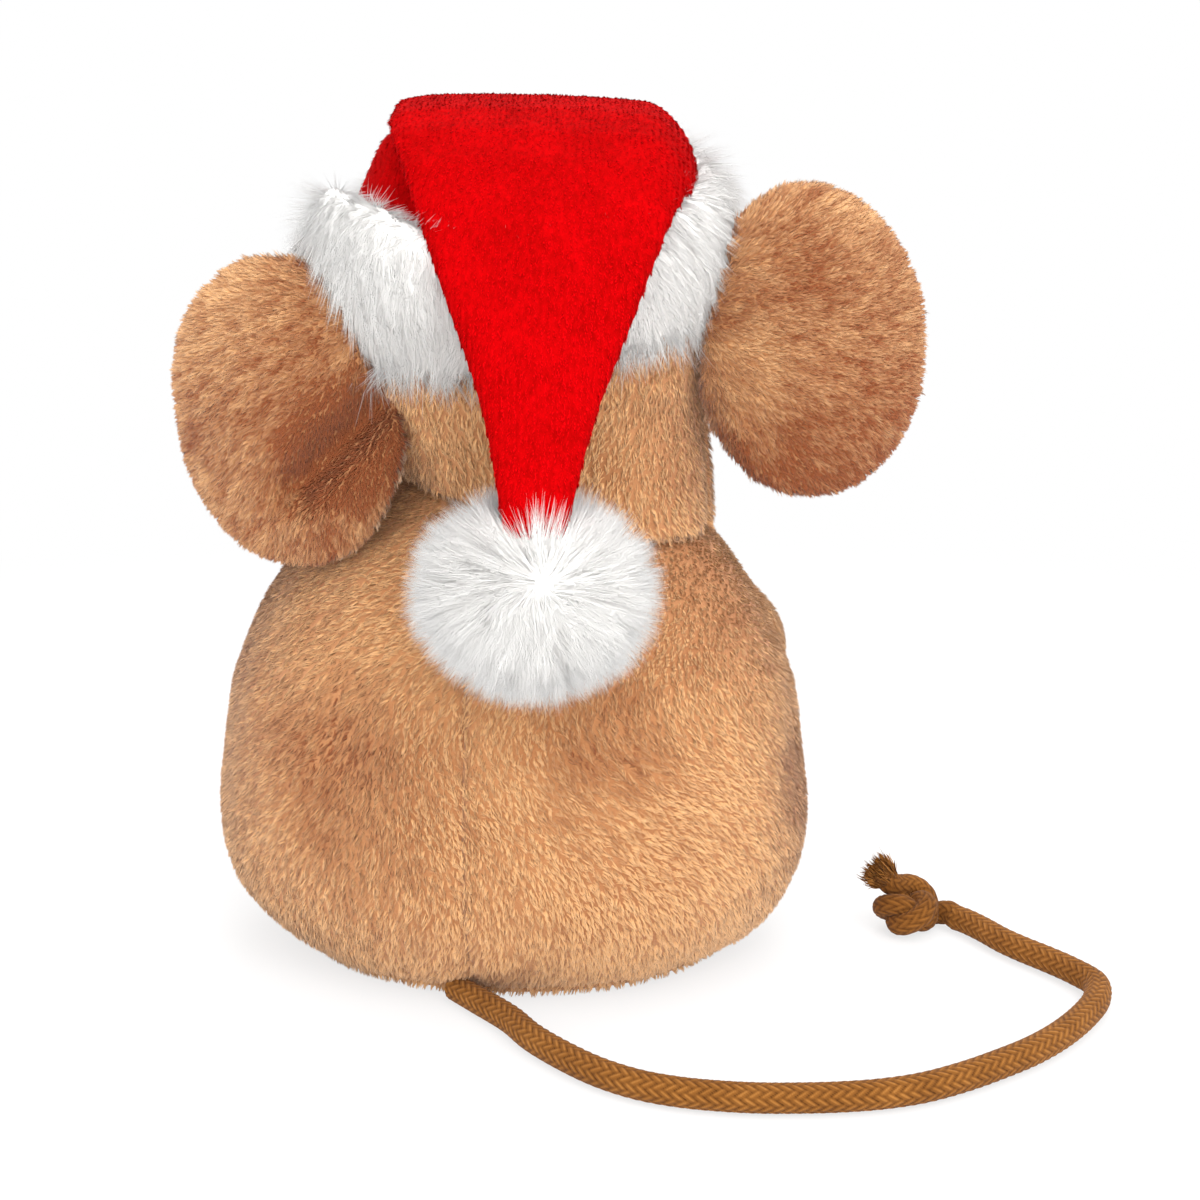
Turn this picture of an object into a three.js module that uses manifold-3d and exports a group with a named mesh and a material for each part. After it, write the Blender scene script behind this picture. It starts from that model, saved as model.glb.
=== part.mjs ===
import * as THREE from "three";
import { mergeVertices } from "three/addons/utils/BufferGeometryUtils.js";
import Module from "manifold-3d";

// A sitting plush mouse with a folded red hat and a knotted cord tail.
// Millimetres. It stands on z = 0, faces +Y and turns its back to -Y.

// Cloth, seams and clearances
const SKIN_WALL = 2.4;
const SEAM_GAP = 0.3;
const MOVING_GAP = 0.45;
const HINGE_GAP = 0.5;

// Body
const BODY_WIDTH = 143;
const BODY_DEPTH = 117;
const BODY_HEIGHT = 121.5;
const BODY_WIDEST_HEIGHT = 32.5;
const BODY_BOTTOM_SWELL = 45;
const BELLY_SEAM_PLACE = 20;

// Squeaker in its pocket behind the belly
const SQUEAKER_DIAMETER = 42;
const SQUEAKER_THICKNESS = 15;
const SQUEAKER_WALL = 1.3;
const SQUEAKER_HEIGHT = 46;
const SQUEAKER_COVER = 6;
const REED_DIAMETER = 8;
const REED_LENGTH = 7;
const REED_BORE = 2.4;

// Head
const HEAD_SHIFT = [4.8, -1.3];
const HEAD_SINK = 19.5;
const HEAD_TURN = THREE.MathUtils.degToRad(9);
const HEAD_ROLL = THREE.MathUtils.degToRad(-6);
const HEAD_WIDTH = 88;
const HEAD_HEIGHT = 78;
const HEAD_BACK_DEPTH = 42;
const HEAD_FRONT_DEPTH = 70;
const MUZZLE_DROP = 9;
const FACE_SEAM_PLACE = -6;
const EYE_DIAMETER = 9;
const EYE_FORWARD = THREE.MathUtils.degToRad(36);
const EYE_UP = THREE.MathUtils.degToRad(38);
const NOSE_WIDTH = 15;
const NOSE_HEIGHT = 11;

// Ears, each turned about its root line on the head
const EAR_WIDTH = 56;
const EAR_HEIGHT = 69;
const EAR_THICKNESS = 10;
const EAR_RIM = 2.6;
const EAR_CUP = 4;
const EAR_LEFT_OVERLAP = 7;
const EAR_RIGHT_OVERLAP = 3;

// Hat
const BAND_SET_IN = 8;
const BAND_WIDTH = 32;
const BAND_THICKNESS = 17;
const BAND_TILT = THREE.MathUtils.degToRad(24);
const CROWN_SPREAD = 1;
const FOLD_SHIFT = [11.5, -8];
const FOLD_RISE = 11;
const FOLD_ROLL = THREE.MathUtils.degToRad(8);
const FOLD_WIDTH = 64;
const FOLD_THICKNESS = 9;
const FLAP_STAND_OFF = 5.5;
const FLAP_DROP = 72;
const POMPOM_DIAMETER = 45;
const POMPOM_SET_BACK = 3;
const POMPOM_RANGE = [0, 45];

// Arms and feet
const ARM_LENGTH = 46;
const ARM_DIAMETER = 21;
const ARM_LIFT = THREE.MathUtils.degToRad(50);
const ARM_SPLAY = THREE.MathUtils.degToRad(18);
const ARM_RANGE = [-15, 30];
const FOOT_LENGTH = 44;
const FOOT_WIDTH = 28;
const FOOT_HEIGHT = 18;
const FOOT_LIFT = 0.4;
const FOOT_SPLAY = THREE.MathUtils.degToRad(12);
const FOOT_RANGE = [0, 20];

// Tail cord
const CORD_DIAMETER = 6;
const CORD_SIDES = 8;
const CORD_STEPS = 64;
const KNOT_STEPS = 56;
const KNOT_SIDES = 8;
const KNOT_LOBE_POINTS = 22;
const KNOT_SHIFT = [-0.6, 0.75];
const KNOT_TURN = THREE.MathUtils.degToRad(54);

// Facets
const BODY_SIDES = 32;
const BODY_LEVELS = 16;
const HEAD_SIDES = 28;
const HEAD_LEVELS = 13;
const LIMB_SIDES = 16;
const LIMB_LEVELS = 8;
const BAND_SIDES = 10;
const EAR_SECTORS = 26;
const EAR_RINGS = 5;
const FLAP_STATIONS = 16;
const SWEEP_STEP = 6;
const WELD = 1e-4;

// Shapes as shares of the sizes above
const BODY_BOTTOM_POWER_SHARE = 2 / 2.2;
const MUZZLE_SHARE = 0.32;
const LIMB_SWELL_SHARE = 0.12;
const EAR_LEFT_PLACE_SHARES = [-0.375, -0.738, -0.0795];
const EAR_RIGHT_PLACE_SHARES = [0.4318, -0.5238, -0.0513];
const BAND_RISE_SHARE = 0.2564;
const ARM_PLACE_SHARES = [0.3182, 0.171, 0.6584];
const FOOT_PLACE_SHARES = [0.2098, 0.359];
const FLAP_PATH_SHARES = [
  [-0.075, 0],
  [-0.045, 0],
  [0, 0],
  [0.32, 0.06],
  [0.62, 0.23],
  [0.86, 0.5],
  [0.97, 0.76],
  [1, 1],
];
const FLAP_WIDTH_SHARES = [0.9, 0.97, 1, 0.99, 0.84, 0.62, 0.4, 0.2];
const FLAP_THICKNESS_SHARES = [0.4, 0.85, 1, 1, 0.95, 0.9, 0.85, 0.75];
const CROWN_RISE_SHARES = [0, 0.3, 0.55, 0.75, 0.9, 1];
const CROWN_DEPTH_SHARES = [1, 0.96, 0.8, 0.52, 0.24, 0.12];
const CROWN_WIDTH_SHARES = [1, 1.02, 1.02, 1, 0.98, 0.96];
const KNOT_CORD_SHARE = 0.65;
const KNOT_UNIT_SHARE = 0.6346;
const KNOT_WAIST_SHARE = 0.92;
const KNOT_HEIGHT_SHARE = 1.15;
const KNOT_OPENING_SHARE = 0.055;
const KNOT_LEAD_SHARES = [
  [4.4, -3, -1.1],
  [4.3, -2, -1.32],
  [3.9, -0.6, -1.38],
  [3.15, 0.65, -0.69],
];

const tau = 2 * Math.PI;
const { lerp, degToRad } = THREE.MathUtils;
const wasm = await Module();
wasm.setup();

const plush = (color) => new THREE.MeshStandardMaterial({ color, roughness: 0.95, metalness: 0 });
const tan = plush(0xc08a55);
const pale = plush(0xd9b48e);
const white = plush(0xf4f2ee);
const red = plush(0xd0060c);
const filling = plush(0xf2f0ea);
const cordBrown = new THREE.MeshStandardMaterial({ color: 0xa0662c, roughness: 0.85, metalness: 0 });
const eyeBlack = new THREE.MeshStandardMaterial({ color: 0x17110e, roughness: 0.3, metalness: 0 });
const noseBrown = new THREE.MeshStandardMaterial({ color: 0x4a2c1c, roughness: 0.8, metalness: 0 });
const plastic = new THREE.MeshStandardMaterial({ color: 0xe9ecef, roughness: 0.4, metalness: 0 });

// Solids from geometry, turned inside out where their faces point inwards
function solidOf(geometry, matrix = new THREE.Matrix4()) {
  const bare = new THREE.BufferGeometry();
  bare.setAttribute("position", geometry.getAttribute("position").clone());
  if (geometry.index) bare.setIndex(geometry.index.clone());
  bare.applyMatrix4(matrix);
  const merged = mergeVertices(bare, WELD);
  const vertProperties = Float32Array.from(merged.getAttribute("position").array);
  const triVerts = Uint32Array.from(merged.index.array);
  const solid = new wasm.Manifold(new wasm.Mesh({ numProp: 3, vertProperties, triVerts }));
  if (solid.volume() > 0) return solid;
  for (let i = 0; i < triVerts.length; i += 3) {
    [triVerts[i + 1], triVerts[i + 2]] = [triVerts[i + 2], triVerts[i + 1]];
  }
  return new wasm.Manifold(new wasm.Mesh({ numProp: 3, vertProperties, triVerts }));
}

function geometryOf(solid) {
  const mesh = solid.getMesh();
  const geometry = new THREE.BufferGeometry();
  geometry.setAttribute("position", new THREE.BufferAttribute(mesh.vertProperties, 3));
  geometry.setIndex(new THREE.BufferAttribute(mesh.triVerts, 1));
  geometry.computeVertexNormals();
  return geometry;
}

const moved = (solid, matrix) => solidOf(geometryOf(solid), matrix);
const joined = (solids) => solids.reduce((all, solid) => all.add(solid));

// Of what a cut leaves, the piece that the seam holds
const mainPiece = (solid) =>
  solid.decompose().reduce((best, piece) => (piece.volume() > best.volume() ? piece : best));

function meshOf(name, solid, material) {
  const mesh = new THREE.Mesh(geometryOf(mainPiece(solid)), material);
  mesh.name = name;
  return mesh;
}

// Half-space cutters: all that lies above or below a value on an axis
const REACH = 4 * BODY_WIDTH;
function halfSpace(axis, value, way) {
  const box = new THREE.BoxGeometry(REACH, REACH, REACH);
  const shift = [0, 0, 0].with(axis, value + (way * REACH) / 2);
  return solidOf(box.translate(...shift));
}
const above = (axis, value) => halfSpace(axis, value, 1);
const below = (axis, value) => halfSpace(axis, value, -1);

// A closed skin through rings of points, each end closed by a fan to its pole or its middle
function loft(rings, poles = []) {
  const count = rings[0].length;
  const points = rings.flat();
  const faces = [];
  for (let level = 0; level + 1 < rings.length; level += 1) {
    for (let i = 0; i < count; i += 1) {
      const a = level * count + i;
      const b = level * count + ((i + 1) % count);
      faces.push(a, b, b + count, a, b + count, a + count);
    }
  }
  const middle = (points) => points.reduce((sum, p) => sum.add(p), new THREE.Vector3()).divideScalar(count);
  const first = points.push(poles[0] ?? middle(rings[0])) - 1;
  const last = points.push(poles[1] ?? middle(rings.at(-1))) - 1;
  const end = (rings.length - 1) * count;
  for (let i = 0; i < count; i += 1) {
    const next = (i + 1) % count;
    faces.push(first, next, i, last, end + i, end + next);
  }
  const geometry = new THREE.BufferGeometry().setFromPoints(points);
  geometry.setIndex(faces);
  return solidOf(geometry);
}

const ring = (count, place) =>
  Array.from({ length: count }, (_, i) => place(Math.cos((tau * i) / count), Math.sin((tau * i) / count)));

// Angles from pole to pole, without the poles themselves
const latitudes = (levels) =>
  Array.from({ length: levels - 1 }, (_, i) => Math.PI * ((i + 1) / levels - 0.5));

// A stuffed limb along z, thicker towards its lower end by a swell share
function limb({ width, depth, height, swell = 0, sides = LIMB_SIDES, levels = LIMB_LEVELS }) {
  return loft(
    latitudes(levels).map((angle) => {
      const out = (Math.cos(angle) * (1 - swell * Math.sin(angle))) / 2;
      const z = (height * Math.sin(angle)) / 2;
      return ring(sides, (c, s) => new THREE.Vector3(width * out * c, depth * out * s, z));
    }),
    [-height / 2, height / 2].map((z) => new THREE.Vector3(0, 0, z)),
  );
}

// The space that obstacles sweep, seen from a piece that turns about an axis through its own origin
function swept(obstacles, axis, [from, to]) {
  const steps = Math.max(1, Math.ceil((to - from) / SWEEP_STEP));
  const turns = Array.from({ length: steps + 1 }, (_, i) => degToRad(lerp(from, to, i / steps)));
  return joined(
    turns.map((turn) => moved(obstacles, new THREE.Matrix4().makeRotationAxis(axis, -turn))),
  );
}

// A group placed on its parent, with the way from the toy's frame into its own
function placed(name, parent, place, turns = [0, 0, 0], order = "XYZ") {
  const group = new THREE.Group();
  group.name = name;
  group.position.set(...place);
  group.rotation.set(...turns, order);
  parent.add(group);
  return group;
}
const intoGroup = (group) => {
  group.updateWorldMatrix(true, false);
  return group.matrixWorld.clone().invert();
};

const toy = new THREE.Group();

// Body: a pear on a flat base, of a base, two back panels and a belly over its filling
function bodyForm(inset) {
  const [rx, ry] = [BODY_WIDTH / 2 - inset, BODY_DEPTH / 2 - inset];
  const up = BODY_HEIGHT - BODY_WIDEST_HEIGHT - inset;
  const down = BODY_BOTTOM_SWELL - inset;
  return loft(
    latitudes(BODY_LEVELS).map((angle) => {
      const power = angle < 0 ? BODY_BOTTOM_POWER_SHARE : 1;
      const out = Math.cos(angle) ** power;
      const rise = Math.sign(angle) * Math.abs(Math.sin(angle)) ** power * (angle < 0 ? down : up);
      const z = BODY_WIDEST_HEIGHT + rise;
      return ring(BODY_SIDES, (c, s) => new THREE.Vector3(rx * out * c, ry * out * s, z));
    }),
    [-down, up].map((rise) => new THREE.Vector3(0, 0, BODY_WIDEST_HEIGHT + rise)),
  );
}

const bodyClearance = bodyForm(-SEAM_GAP);

function addBody() {
  const outside = bodyForm(0).intersect(above(2, 0));
  const wall = outside.subtract(bodyForm(SKIN_WALL)).intersect(above(2, SKIN_WALL + SEAM_GAP));
  const back = wall.intersect(below(1, BELLY_SEAM_PLACE));
  const pocketRadius = SQUEAKER_DIAMETER / 2 + SEAM_GAP;
  const pocket = new THREE.CylinderGeometry(pocketRadius, pocketRadius, BODY_DEPTH, BODY_SIDES);
  pocket.translate(0, squeakerBack - SEAM_GAP + BODY_DEPTH / 2, SQUEAKER_HEIGHT);
  const stuffing = bodyForm(SKIN_WALL + SEAM_GAP)
    .intersect(above(2, SKIN_WALL + 2 * SEAM_GAP))
    .subtract(solidOf(pocket));
  toy.add(
    meshOf("body_base", outside.intersect(below(2, SKIN_WALL)), tan),
    meshOf("body_back_left", back.intersect(below(0, -SEAM_GAP / 2)), tan),
    meshOf("body_back_right", back.intersect(above(0, SEAM_GAP / 2)), tan),
    meshOf("body_belly", wall.intersect(above(1, BELLY_SEAM_PLACE + SEAM_GAP)), tan),
    meshOf("body_stuffing", stuffing, filling),
  );
}

// Squeaker: a ribbed hollow bulb whose neck holds the reed
const squeakerBack = BODY_DEPTH / 2 - SQUEAKER_COVER - REED_LENGTH - SQUEAKER_THICKNESS;

function addSqueaker() {
  const [radius, thick, wall] = [SQUEAKER_DIAMETER / 2, SQUEAKER_THICKNESS, SQUEAKER_WALL];
  const neck = REED_DIAMETER / 2 + SEAM_GAP;
  const waist = radius - 2 * wall;
  const outside = [
    [0, 0],
    [waist, 0],
    [radius, thick / 4],
    [waist, thick / 2],
    [radius, (3 * thick) / 4],
    [waist, thick],
    [neck + wall, thick],
    [neck + wall, thick + REED_LENGTH / 2],
  ];
  const inside = outside.slice(1).map(([r, y]) => [r - wall, Math.min(Math.max(y, wall), thick - wall)]);
  inside[inside.length - 1] = [neck, thick + REED_LENGTH / 2];
  inside[inside.length - 2] = [neck, thick - wall];
  const profile = [...outside, ...inside.reverse(), [0, wall]];
  const bulb = new THREE.LatheGeometry(profile.map(([r, y]) => new THREE.Vector2(r, y)), LIMB_SIDES);
  const reed = new THREE.LatheGeometry(
    [
      [REED_BORE / 2, 0],
      [REED_DIAMETER / 2, 0],
      [REED_DIAMETER / 2, REED_LENGTH / 2 + wall + SEAM_GAP],
      [neck + wall, REED_LENGTH / 2 + wall + SEAM_GAP],
      [neck + wall, REED_LENGTH / 2 + 2 * wall + SEAM_GAP],
      [REED_BORE / 2, REED_LENGTH / 2 + 2 * wall + SEAM_GAP],
      [REED_BORE / 2, 0],
    ].map(([r, y]) => new THREE.Vector2(r, y)),
    LIMB_SIDES,
  );
  const seat = placed("squeaker", toy, [0, squeakerBack, SQUEAKER_HEIGHT]);
  seat.add(
    meshOf("squeaker_bulb", solidOf(bulb), plastic),
    meshOf("squeaker_reed", solidOf(reed.translate(0, thick - wall, 0)), plastic),
  );
}

// Head: a ball that runs forward into a muzzle, sewn over the top of the body
const headPlace = [...HEAD_SHIFT, BODY_HEIGHT + HEAD_HEIGHT / 2 - HEAD_SINK];
const head = placed("head", toy, headPlace, [0, HEAD_ROLL, HEAD_TURN], "ZYX");

function muzzlePoint(angle, inset) {
  const cosine = Math.cos(angle);
  const front = angle > 0;
  const out = front ? (1 - MUZZLE_SHARE) * cosine ** 2 + MUZZLE_SHARE * Math.sqrt(cosine) : cosine;
  const length = front ? HEAD_FRONT_DEPTH : HEAD_BACK_DEPTH;
  const drop = front ? MUZZLE_DROP * Math.sin(angle) ** 2 : 0;
  return { out, y: (length - inset) * Math.sin(angle), drop };
}

function headForm(inset) {
  return loft(
    latitudes(HEAD_LEVELS).map((angle) => {
      const { out, y, drop } = muzzlePoint(angle, inset);
      const [rx, rz] = [(HEAD_WIDTH / 2) * out - inset, (HEAD_HEIGHT / 2) * out - inset];
      return ring(HEAD_SIDES, (c, s) => new THREE.Vector3(rx * c, y, rz * s - drop));
    }),
    [-Math.PI / 2, Math.PI / 2].map((angle) => {
      const { y, drop } = muzzlePoint(angle, inset);
      return new THREE.Vector3(0, y, -drop);
    }),
  );
}

const headClearance = headForm(-SEAM_GAP);
const bodyFromHead = moved(bodyClearance, intoGroup(head));

function addHead() {
  const wall = headForm(0).subtract(headForm(SKIN_WALL)).subtract(bodyFromHead);
  const face = wall.intersect(above(1, FACE_SEAM_PLACE + SEAM_GAP));
  const stuffing = headForm(SKIN_WALL + SEAM_GAP).subtract(bodyFromHead);
  head.add(
    meshOf("head_back", wall.intersect(below(1, FACE_SEAM_PLACE)), tan),
    meshOf("head_left", face.intersect(below(0, -SEAM_GAP / 2)), tan),
    meshOf("head_right", face.intersect(above(0, SEAM_GAP / 2)), tan),
    meshOf("head_stuffing", stuffing, filling),
  );
}

// Eyes and nose stand proud of the face by about half their size
function addFace() {
  const { out, y, drop } = muzzlePoint(EYE_FORWARD, 0);
  const eye = limb({ width: EYE_DIAMETER, depth: EYE_DIAMETER, height: EYE_DIAMETER });
  for (const [side, way] of [["left", -1], ["right", 1]]) {
    const x = way * (HEAD_WIDTH / 2) * out * Math.cos(EYE_UP);
    const z = (HEAD_HEIGHT / 2) * out * Math.sin(EYE_UP) - drop;
    const inPlace = moved(eye, new THREE.Matrix4().makeTranslation(x, y, z));
    head.add(meshOf(`eye_${side}`, inPlace.subtract(headClearance), eyeBlack));
  }
  const nose = limb({ width: NOSE_WIDTH, depth: NOSE_WIDTH, height: NOSE_HEIGHT });
  const tip = new THREE.Matrix4().makeTranslation(0, HEAD_FRONT_DEPTH, NOSE_HEIGHT / 6 - MUZZLE_DROP);
  head.add(meshOf("nose", moved(nose, tip).subtract(headClearance), noseBrown));
}

// Hat band: a fur ring, tilted back on the head
const bandDiameter = HEAD_WIDTH - BAND_SET_IN;
const bandRise = BAND_RISE_SHARE * HEAD_HEIGHT;
const hat = placed("hat", head, [0, 0, bandRise], [BAND_TILT, 0, 0]);

function bandForm(inset) {
  const section = BAND_THICKNESS / 2 - inset;
  const torus = new THREE.TorusGeometry(bandDiameter / 2, section, BAND_SIDES, BODY_SIDES);
  return solidOf(torus.scale(1, 1, (BAND_WIDTH / 2 - inset) / section));
}

const hatInHead = new THREE.Matrix4().compose(hat.position, hat.quaternion, hat.scale);
const bandClearance = moved(bandForm(-SEAM_GAP), hatInHead);
const headFromHat = moved(headClearance, hatInHead.clone().invert());

// Hat crown: from the band up to the flat fold
const foldPlace = [...FOLD_SHIFT, HEAD_HEIGHT / 2 + FOLD_RISE];
const fold = placed("hat_fold", head, foldPlace, [0, FOLD_ROLL, 0]);
const foldInHead = new THREE.Matrix4().compose(fold.position, fold.quaternion, fold.scale);

function crownForm() {
  const [foldX, foldY, foldZ] = foldPlace;
  const crownDiameter = bandDiameter + CROWN_SPREAD;
  return loft(
    CROWN_RISE_SHARES.map((share, i) => {
      const tilt = BAND_TILT * (1 - share);
      const roll = FOLD_ROLL * share;
      const width = (lerp(crownDiameter, FOLD_WIDTH, share) / 2) * CROWN_WIDTH_SHARES[i];
      const depth = (crownDiameter / 2) * CROWN_DEPTH_SHARES[i];
      const middle = new THREE.Vector3(foldX * share, foldY * share, lerp(bandRise, foldZ, share));
      return ring(HEAD_SIDES, (c, s) =>
        new THREE.Vector3(width * c, depth * s, 0)
          .applyEuler(new THREE.Euler(tilt, roll, 0))
          .add(middle),
      );
    }),
  );
}

const foldRod = (radius) =>
  solidOf(
    new THREE.CylinderGeometry(radius, radius, 2 * FOLD_WIDTH, LIMB_SIDES).rotateZ(Math.PI / 2),
    foldInHead,
  );

function addHat() {
  hat.add(meshOf("hat_band", bandForm(0).subtract(headFromHat), white));
  const crown = crownForm()
    .subtract(headClearance)
    .subtract(bandClearance)
    .subtract(foldRod(FOLD_THICKNESS / 2 + HINGE_GAP))
    .subtract(moved(flapForm(MOVING_GAP), foldInHead));
  head.add(meshOf("hat_crown", crown, red));
}

// Hat flap: the cone's tip end, folded over the back of the band
const flapReach = (bandDiameter + BAND_THICKNESS) / 2 + FLAP_STAND_OFF;
const flapPath = new THREE.CatmullRomCurve3(
  FLAP_PATH_SHARES.map(([reach, drop]) => new THREE.Vector3(0, -flapReach * reach, -FLAP_DROP * drop)),
);
const shareAt = (shares, t) => {
  const place = t * (shares.length - 1);
  const index = Math.min(Math.floor(place), shares.length - 2);
  return lerp(shares[index], shares[index + 1], place - index);
};

function flapForm(grow) {
  return loft(
    Array.from({ length: FLAP_STATIONS }, (_, i) => {
      const t = i / (FLAP_STATIONS - 1);
      const centre = flapPath.getPoint(t);
      const along = flapPath.getTangent(t);
      const outward = new THREE.Vector3(0, along.z, -along.y);
      const width = (FOLD_WIDTH / 2) * shareAt(FLAP_WIDTH_SHARES, t) + grow;
      const thick = (FOLD_THICKNESS / 2) * shareAt(FLAP_THICKNESS_SHARES, t) + grow;
      return ring(LIMB_SIDES, (c, s) =>
        centre
          .clone()
          .addScaledVector(outward, thick * Math.sign(s) * Math.sqrt(Math.abs(s)))
          .setX(width * c),
      );
    }),
  );
}

function addFlapAndPompom() {
  fold.add(meshOf("hat_flap", flapForm(0), red));
  const tip = placed("hat_tip", fold, [0, -flapReach, -FLAP_DROP - SEAM_GAP]);
  const pompom = limb({ width: POMPOM_DIAMETER, depth: POMPOM_DIAMETER, height: POMPOM_DIAMETER });
  const hung = moved(pompom, new THREE.Matrix4().makeTranslation(0, -POMPOM_SET_BACK, -POMPOM_DIAMETER / 2));
  const tipInFold = new THREE.Matrix4().setPosition(tip.position);
  const flapFromTip = moved(flapForm(MOVING_GAP), tipInFold.invert());
  const cutter = swept(flapFromTip, new THREE.Vector3(-1, 0, 0), POMPOM_RANGE);
  const bodyFromTip = moved(bodyForm(-MOVING_GAP), intoGroup(tip));
  tip.add(meshOf("hat_pompom", hung.subtract(cutter).subtract(bodyFromTip), white));
}

// Ears: two padded layers each, sewn round the rim
const headSizes = [HEAD_WIDTH, HEAD_BACK_DEPTH, HEAD_HEIGHT];
const onHead = (shares) => shares.map((share, axis) => share * headSizes[axis]);
const EARS = [
  {
    side: "left",
    out: -1,
    place: onHead(EAR_LEFT_PLACE_SHARES),
    yaw: 22,
    overlap: EAR_LEFT_OVERLAP,
    range: [-30, 6],
  },
  {
    side: "right",
    out: 1,
    place: onHead(EAR_RIGHT_PLACE_SHARES),
    yaw: 18,
    overlap: EAR_RIGHT_OVERLAP,
    range: [-25, 30],
  },
];

function earPad(out, overlap, backLayer) {
  const rings = Array.from({ length: EAR_RINGS }, (_, i) => Math.sin((Math.PI / 2) * ((i + 1) / EAR_RINGS)));
  const pad = (share) => EAR_RIM / 2 + (EAR_THICKNESS / 2 - EAR_RIM / 2) * Math.sqrt(1 - share ** 2);
  const layer = (share) => {
    const cup = -EAR_CUP * (1 - share ** 2);
    const seam = SEAM_GAP / 2;
    return backLayer ? [cup - pad(share), cup - seam] : [cup + seam, cup + pad(share)];
  };
  const at = (share, pick) =>
    ring(EAR_SECTORS, (c, s) => {
      const x = out * ((EAR_WIDTH / 2) * (1 + share * c) - overlap);
      return new THREE.Vector3(x, layer(share)[pick], (EAR_HEIGHT / 2) * share * s);
    });
  const near = rings.map((share) => at(share, 0));
  const far = rings.map((share) => at(share, 1)).reverse();
  return loft([...near, ...far]);
}

function addEar({ side, out, place, yaw, overlap, range }) {
  const ear = placed(`ear_${side}`, head, place, [0, 0, out * degToRad(yaw)]);
  const earInHead = new THREE.Matrix4().compose(ear.position, ear.quaternion, ear.scale);
  const neighbours = headForm(-MOVING_GAP)
    .add(moved(bandForm(-MOVING_GAP), hatInHead))
    .add(moved(bodyForm(-MOVING_GAP), intoGroup(head)));
  const fromEar = moved(neighbours, earInHead.invert());
  const cutter = swept(fromEar, new THREE.Vector3(0, 0, out), range);
  ear.add(
    meshOf(`ear_${side}_back`, earPad(out, overlap, true).subtract(cutter), tan),
    meshOf(`ear_${side}_lining`, earPad(out, overlap, false).subtract(cutter), pale),
  );
}

// Arms hang from the shoulders, and feet lie in front of the base
function addLimb(name, place, turns, form, range) {
  const group = placed(name, toy, place, turns, "ZYX");
  const clearance = moved(bodyForm(-MOVING_GAP), intoGroup(group));
  const cutter = swept(clearance, new THREE.Vector3(1, 0, 0), range);
  group.add(meshOf(name, form.subtract(cutter), tan));
}

function addLimbs() {
  const swell = LIMB_SWELL_SHARE;
  const arm = limb({ width: ARM_DIAMETER, depth: ARM_DIAMETER, height: ARM_LENGTH, swell });
  const armForm = moved(arm, new THREE.Matrix4().makeTranslation(0, 0, ARM_DIAMETER / 4 - ARM_LENGTH / 2));
  const foot = limb({ width: FOOT_WIDTH, depth: FOOT_HEIGHT, height: FOOT_LENGTH, swell });
  const lying = new THREE.Matrix4().makeRotationX(Math.PI / 2);
  lying.setPosition(0, FOOT_LENGTH / 2, 0);
  for (const [side, way] of [["left", -1], ["right", 1]]) {
    const [armX, armY, armZ] = ARM_PLACE_SHARES;
    const armPlace = [way * armX * BODY_WIDTH, armY * BODY_DEPTH, armZ * BODY_HEIGHT];
    const armTurns = [ARM_LIFT, 0, -way * ARM_SPLAY];
    addLimb(`arm_${side}`, armPlace, armTurns, armForm, ARM_RANGE);
    const [footX, footY] = FOOT_PLACE_SHARES;
    const footPlace = [way * footX * BODY_WIDTH, footY * BODY_DEPTH, FOOT_LIFT + FOOT_HEIGHT / 2];
    const footTurns = [0, 0, -way * FOOT_SPLAY];
    addLimb(`foot_${side}`, footPlace, footTurns, moved(foot, lying), FOOT_RANGE);
  }
}

// Tail: a cord from the back seam, along the floor to its knot
const CORD_LIFT = CORD_DIAMETER / 2;
const CORD_ROUTE = [
  [-5, -44],
  [2, -50.6],
  [10.8, -59],
  [17.1, -66.9],
  [25.8, -75],
  [34, -81],
  [42.5, -85],
  [50.8, -86.8],
  [58.8, -87.2],
  [66.6, -86.8],
  [74.4, -85.6],
  [82.2, -83.9],
  [90.1, -81.4],
  [98.1, -77.5],
  [106.3, -71.4],
  [114.4, -63.8],
  [121, -56.7],
  [127.2, -48],
  [132.7, -37.6],
  [136, -28.3],
  [136.2, -20.5],
  [131.6, -13.6],
  [126.4, -8.1],
  [121, -3],
  [116.6, 1.8],
  [112.4, 7.6],
  [108.3, 12.4],
  [105.4, 14.7],
];

function cordAlong(curve, radius, sides, steps) {
  const section = new THREE.Shape(ring(sides, (c, s) => new THREE.Vector2(radius * c, radius * s)));
  return solidOf(new THREE.ExtrudeGeometry(section, { steps, extrudePath: curve, bevelEnabled: false }));
}

// An overhand knot: three lobes round a ring, and two ends that cross and leave opposite ways
const knotDiameter = CORD_DIAMETER * KNOT_CORD_SHARE;
function knotPoints() {
  const lobes = Array.from({ length: KNOT_LOBE_POINTS }, (_, i) => {
    const share = i / (KNOT_LOBE_POINTS - 1);
    const turn = tau * lerp(KNOT_OPENING_SHARE, 1 - KNOT_OPENING_SHARE, share);
    const out = 2 + KNOT_WAIST_SHARE * Math.cos(3 * turn);
    return [out * Math.cos(2 * turn), out * Math.sin(2 * turn), KNOT_HEIGHT_SHARE * Math.sin(3 * turn)];
  });
  const leaving = KNOT_LEAD_SHARES.map(([x, y, z]) => [x, -y, -z]).reverse();
  return [...KNOT_LEAD_SHARES, ...lobes, ...leaving].map(([x, y, z]) =>
    new THREE.Vector3(x, y, z).multiplyScalar(knotDiameter * KNOT_UNIT_SHARE),
  );
}

function leastGap(curve, diameter, samples) {
  const points = curve.getSpacedPoints(samples);
  const step = curve.getLength() / samples;
  const near = Math.ceil((2 * diameter) / step);
  let least = Infinity;
  for (let i = 0; i < points.length; i += 1) {
    for (let j = i + near; j < points.length; j += 1) {
      least = Math.min(least, points[i].distanceTo(points[j]) - diameter);
    }
  }
  return least;
}

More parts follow.
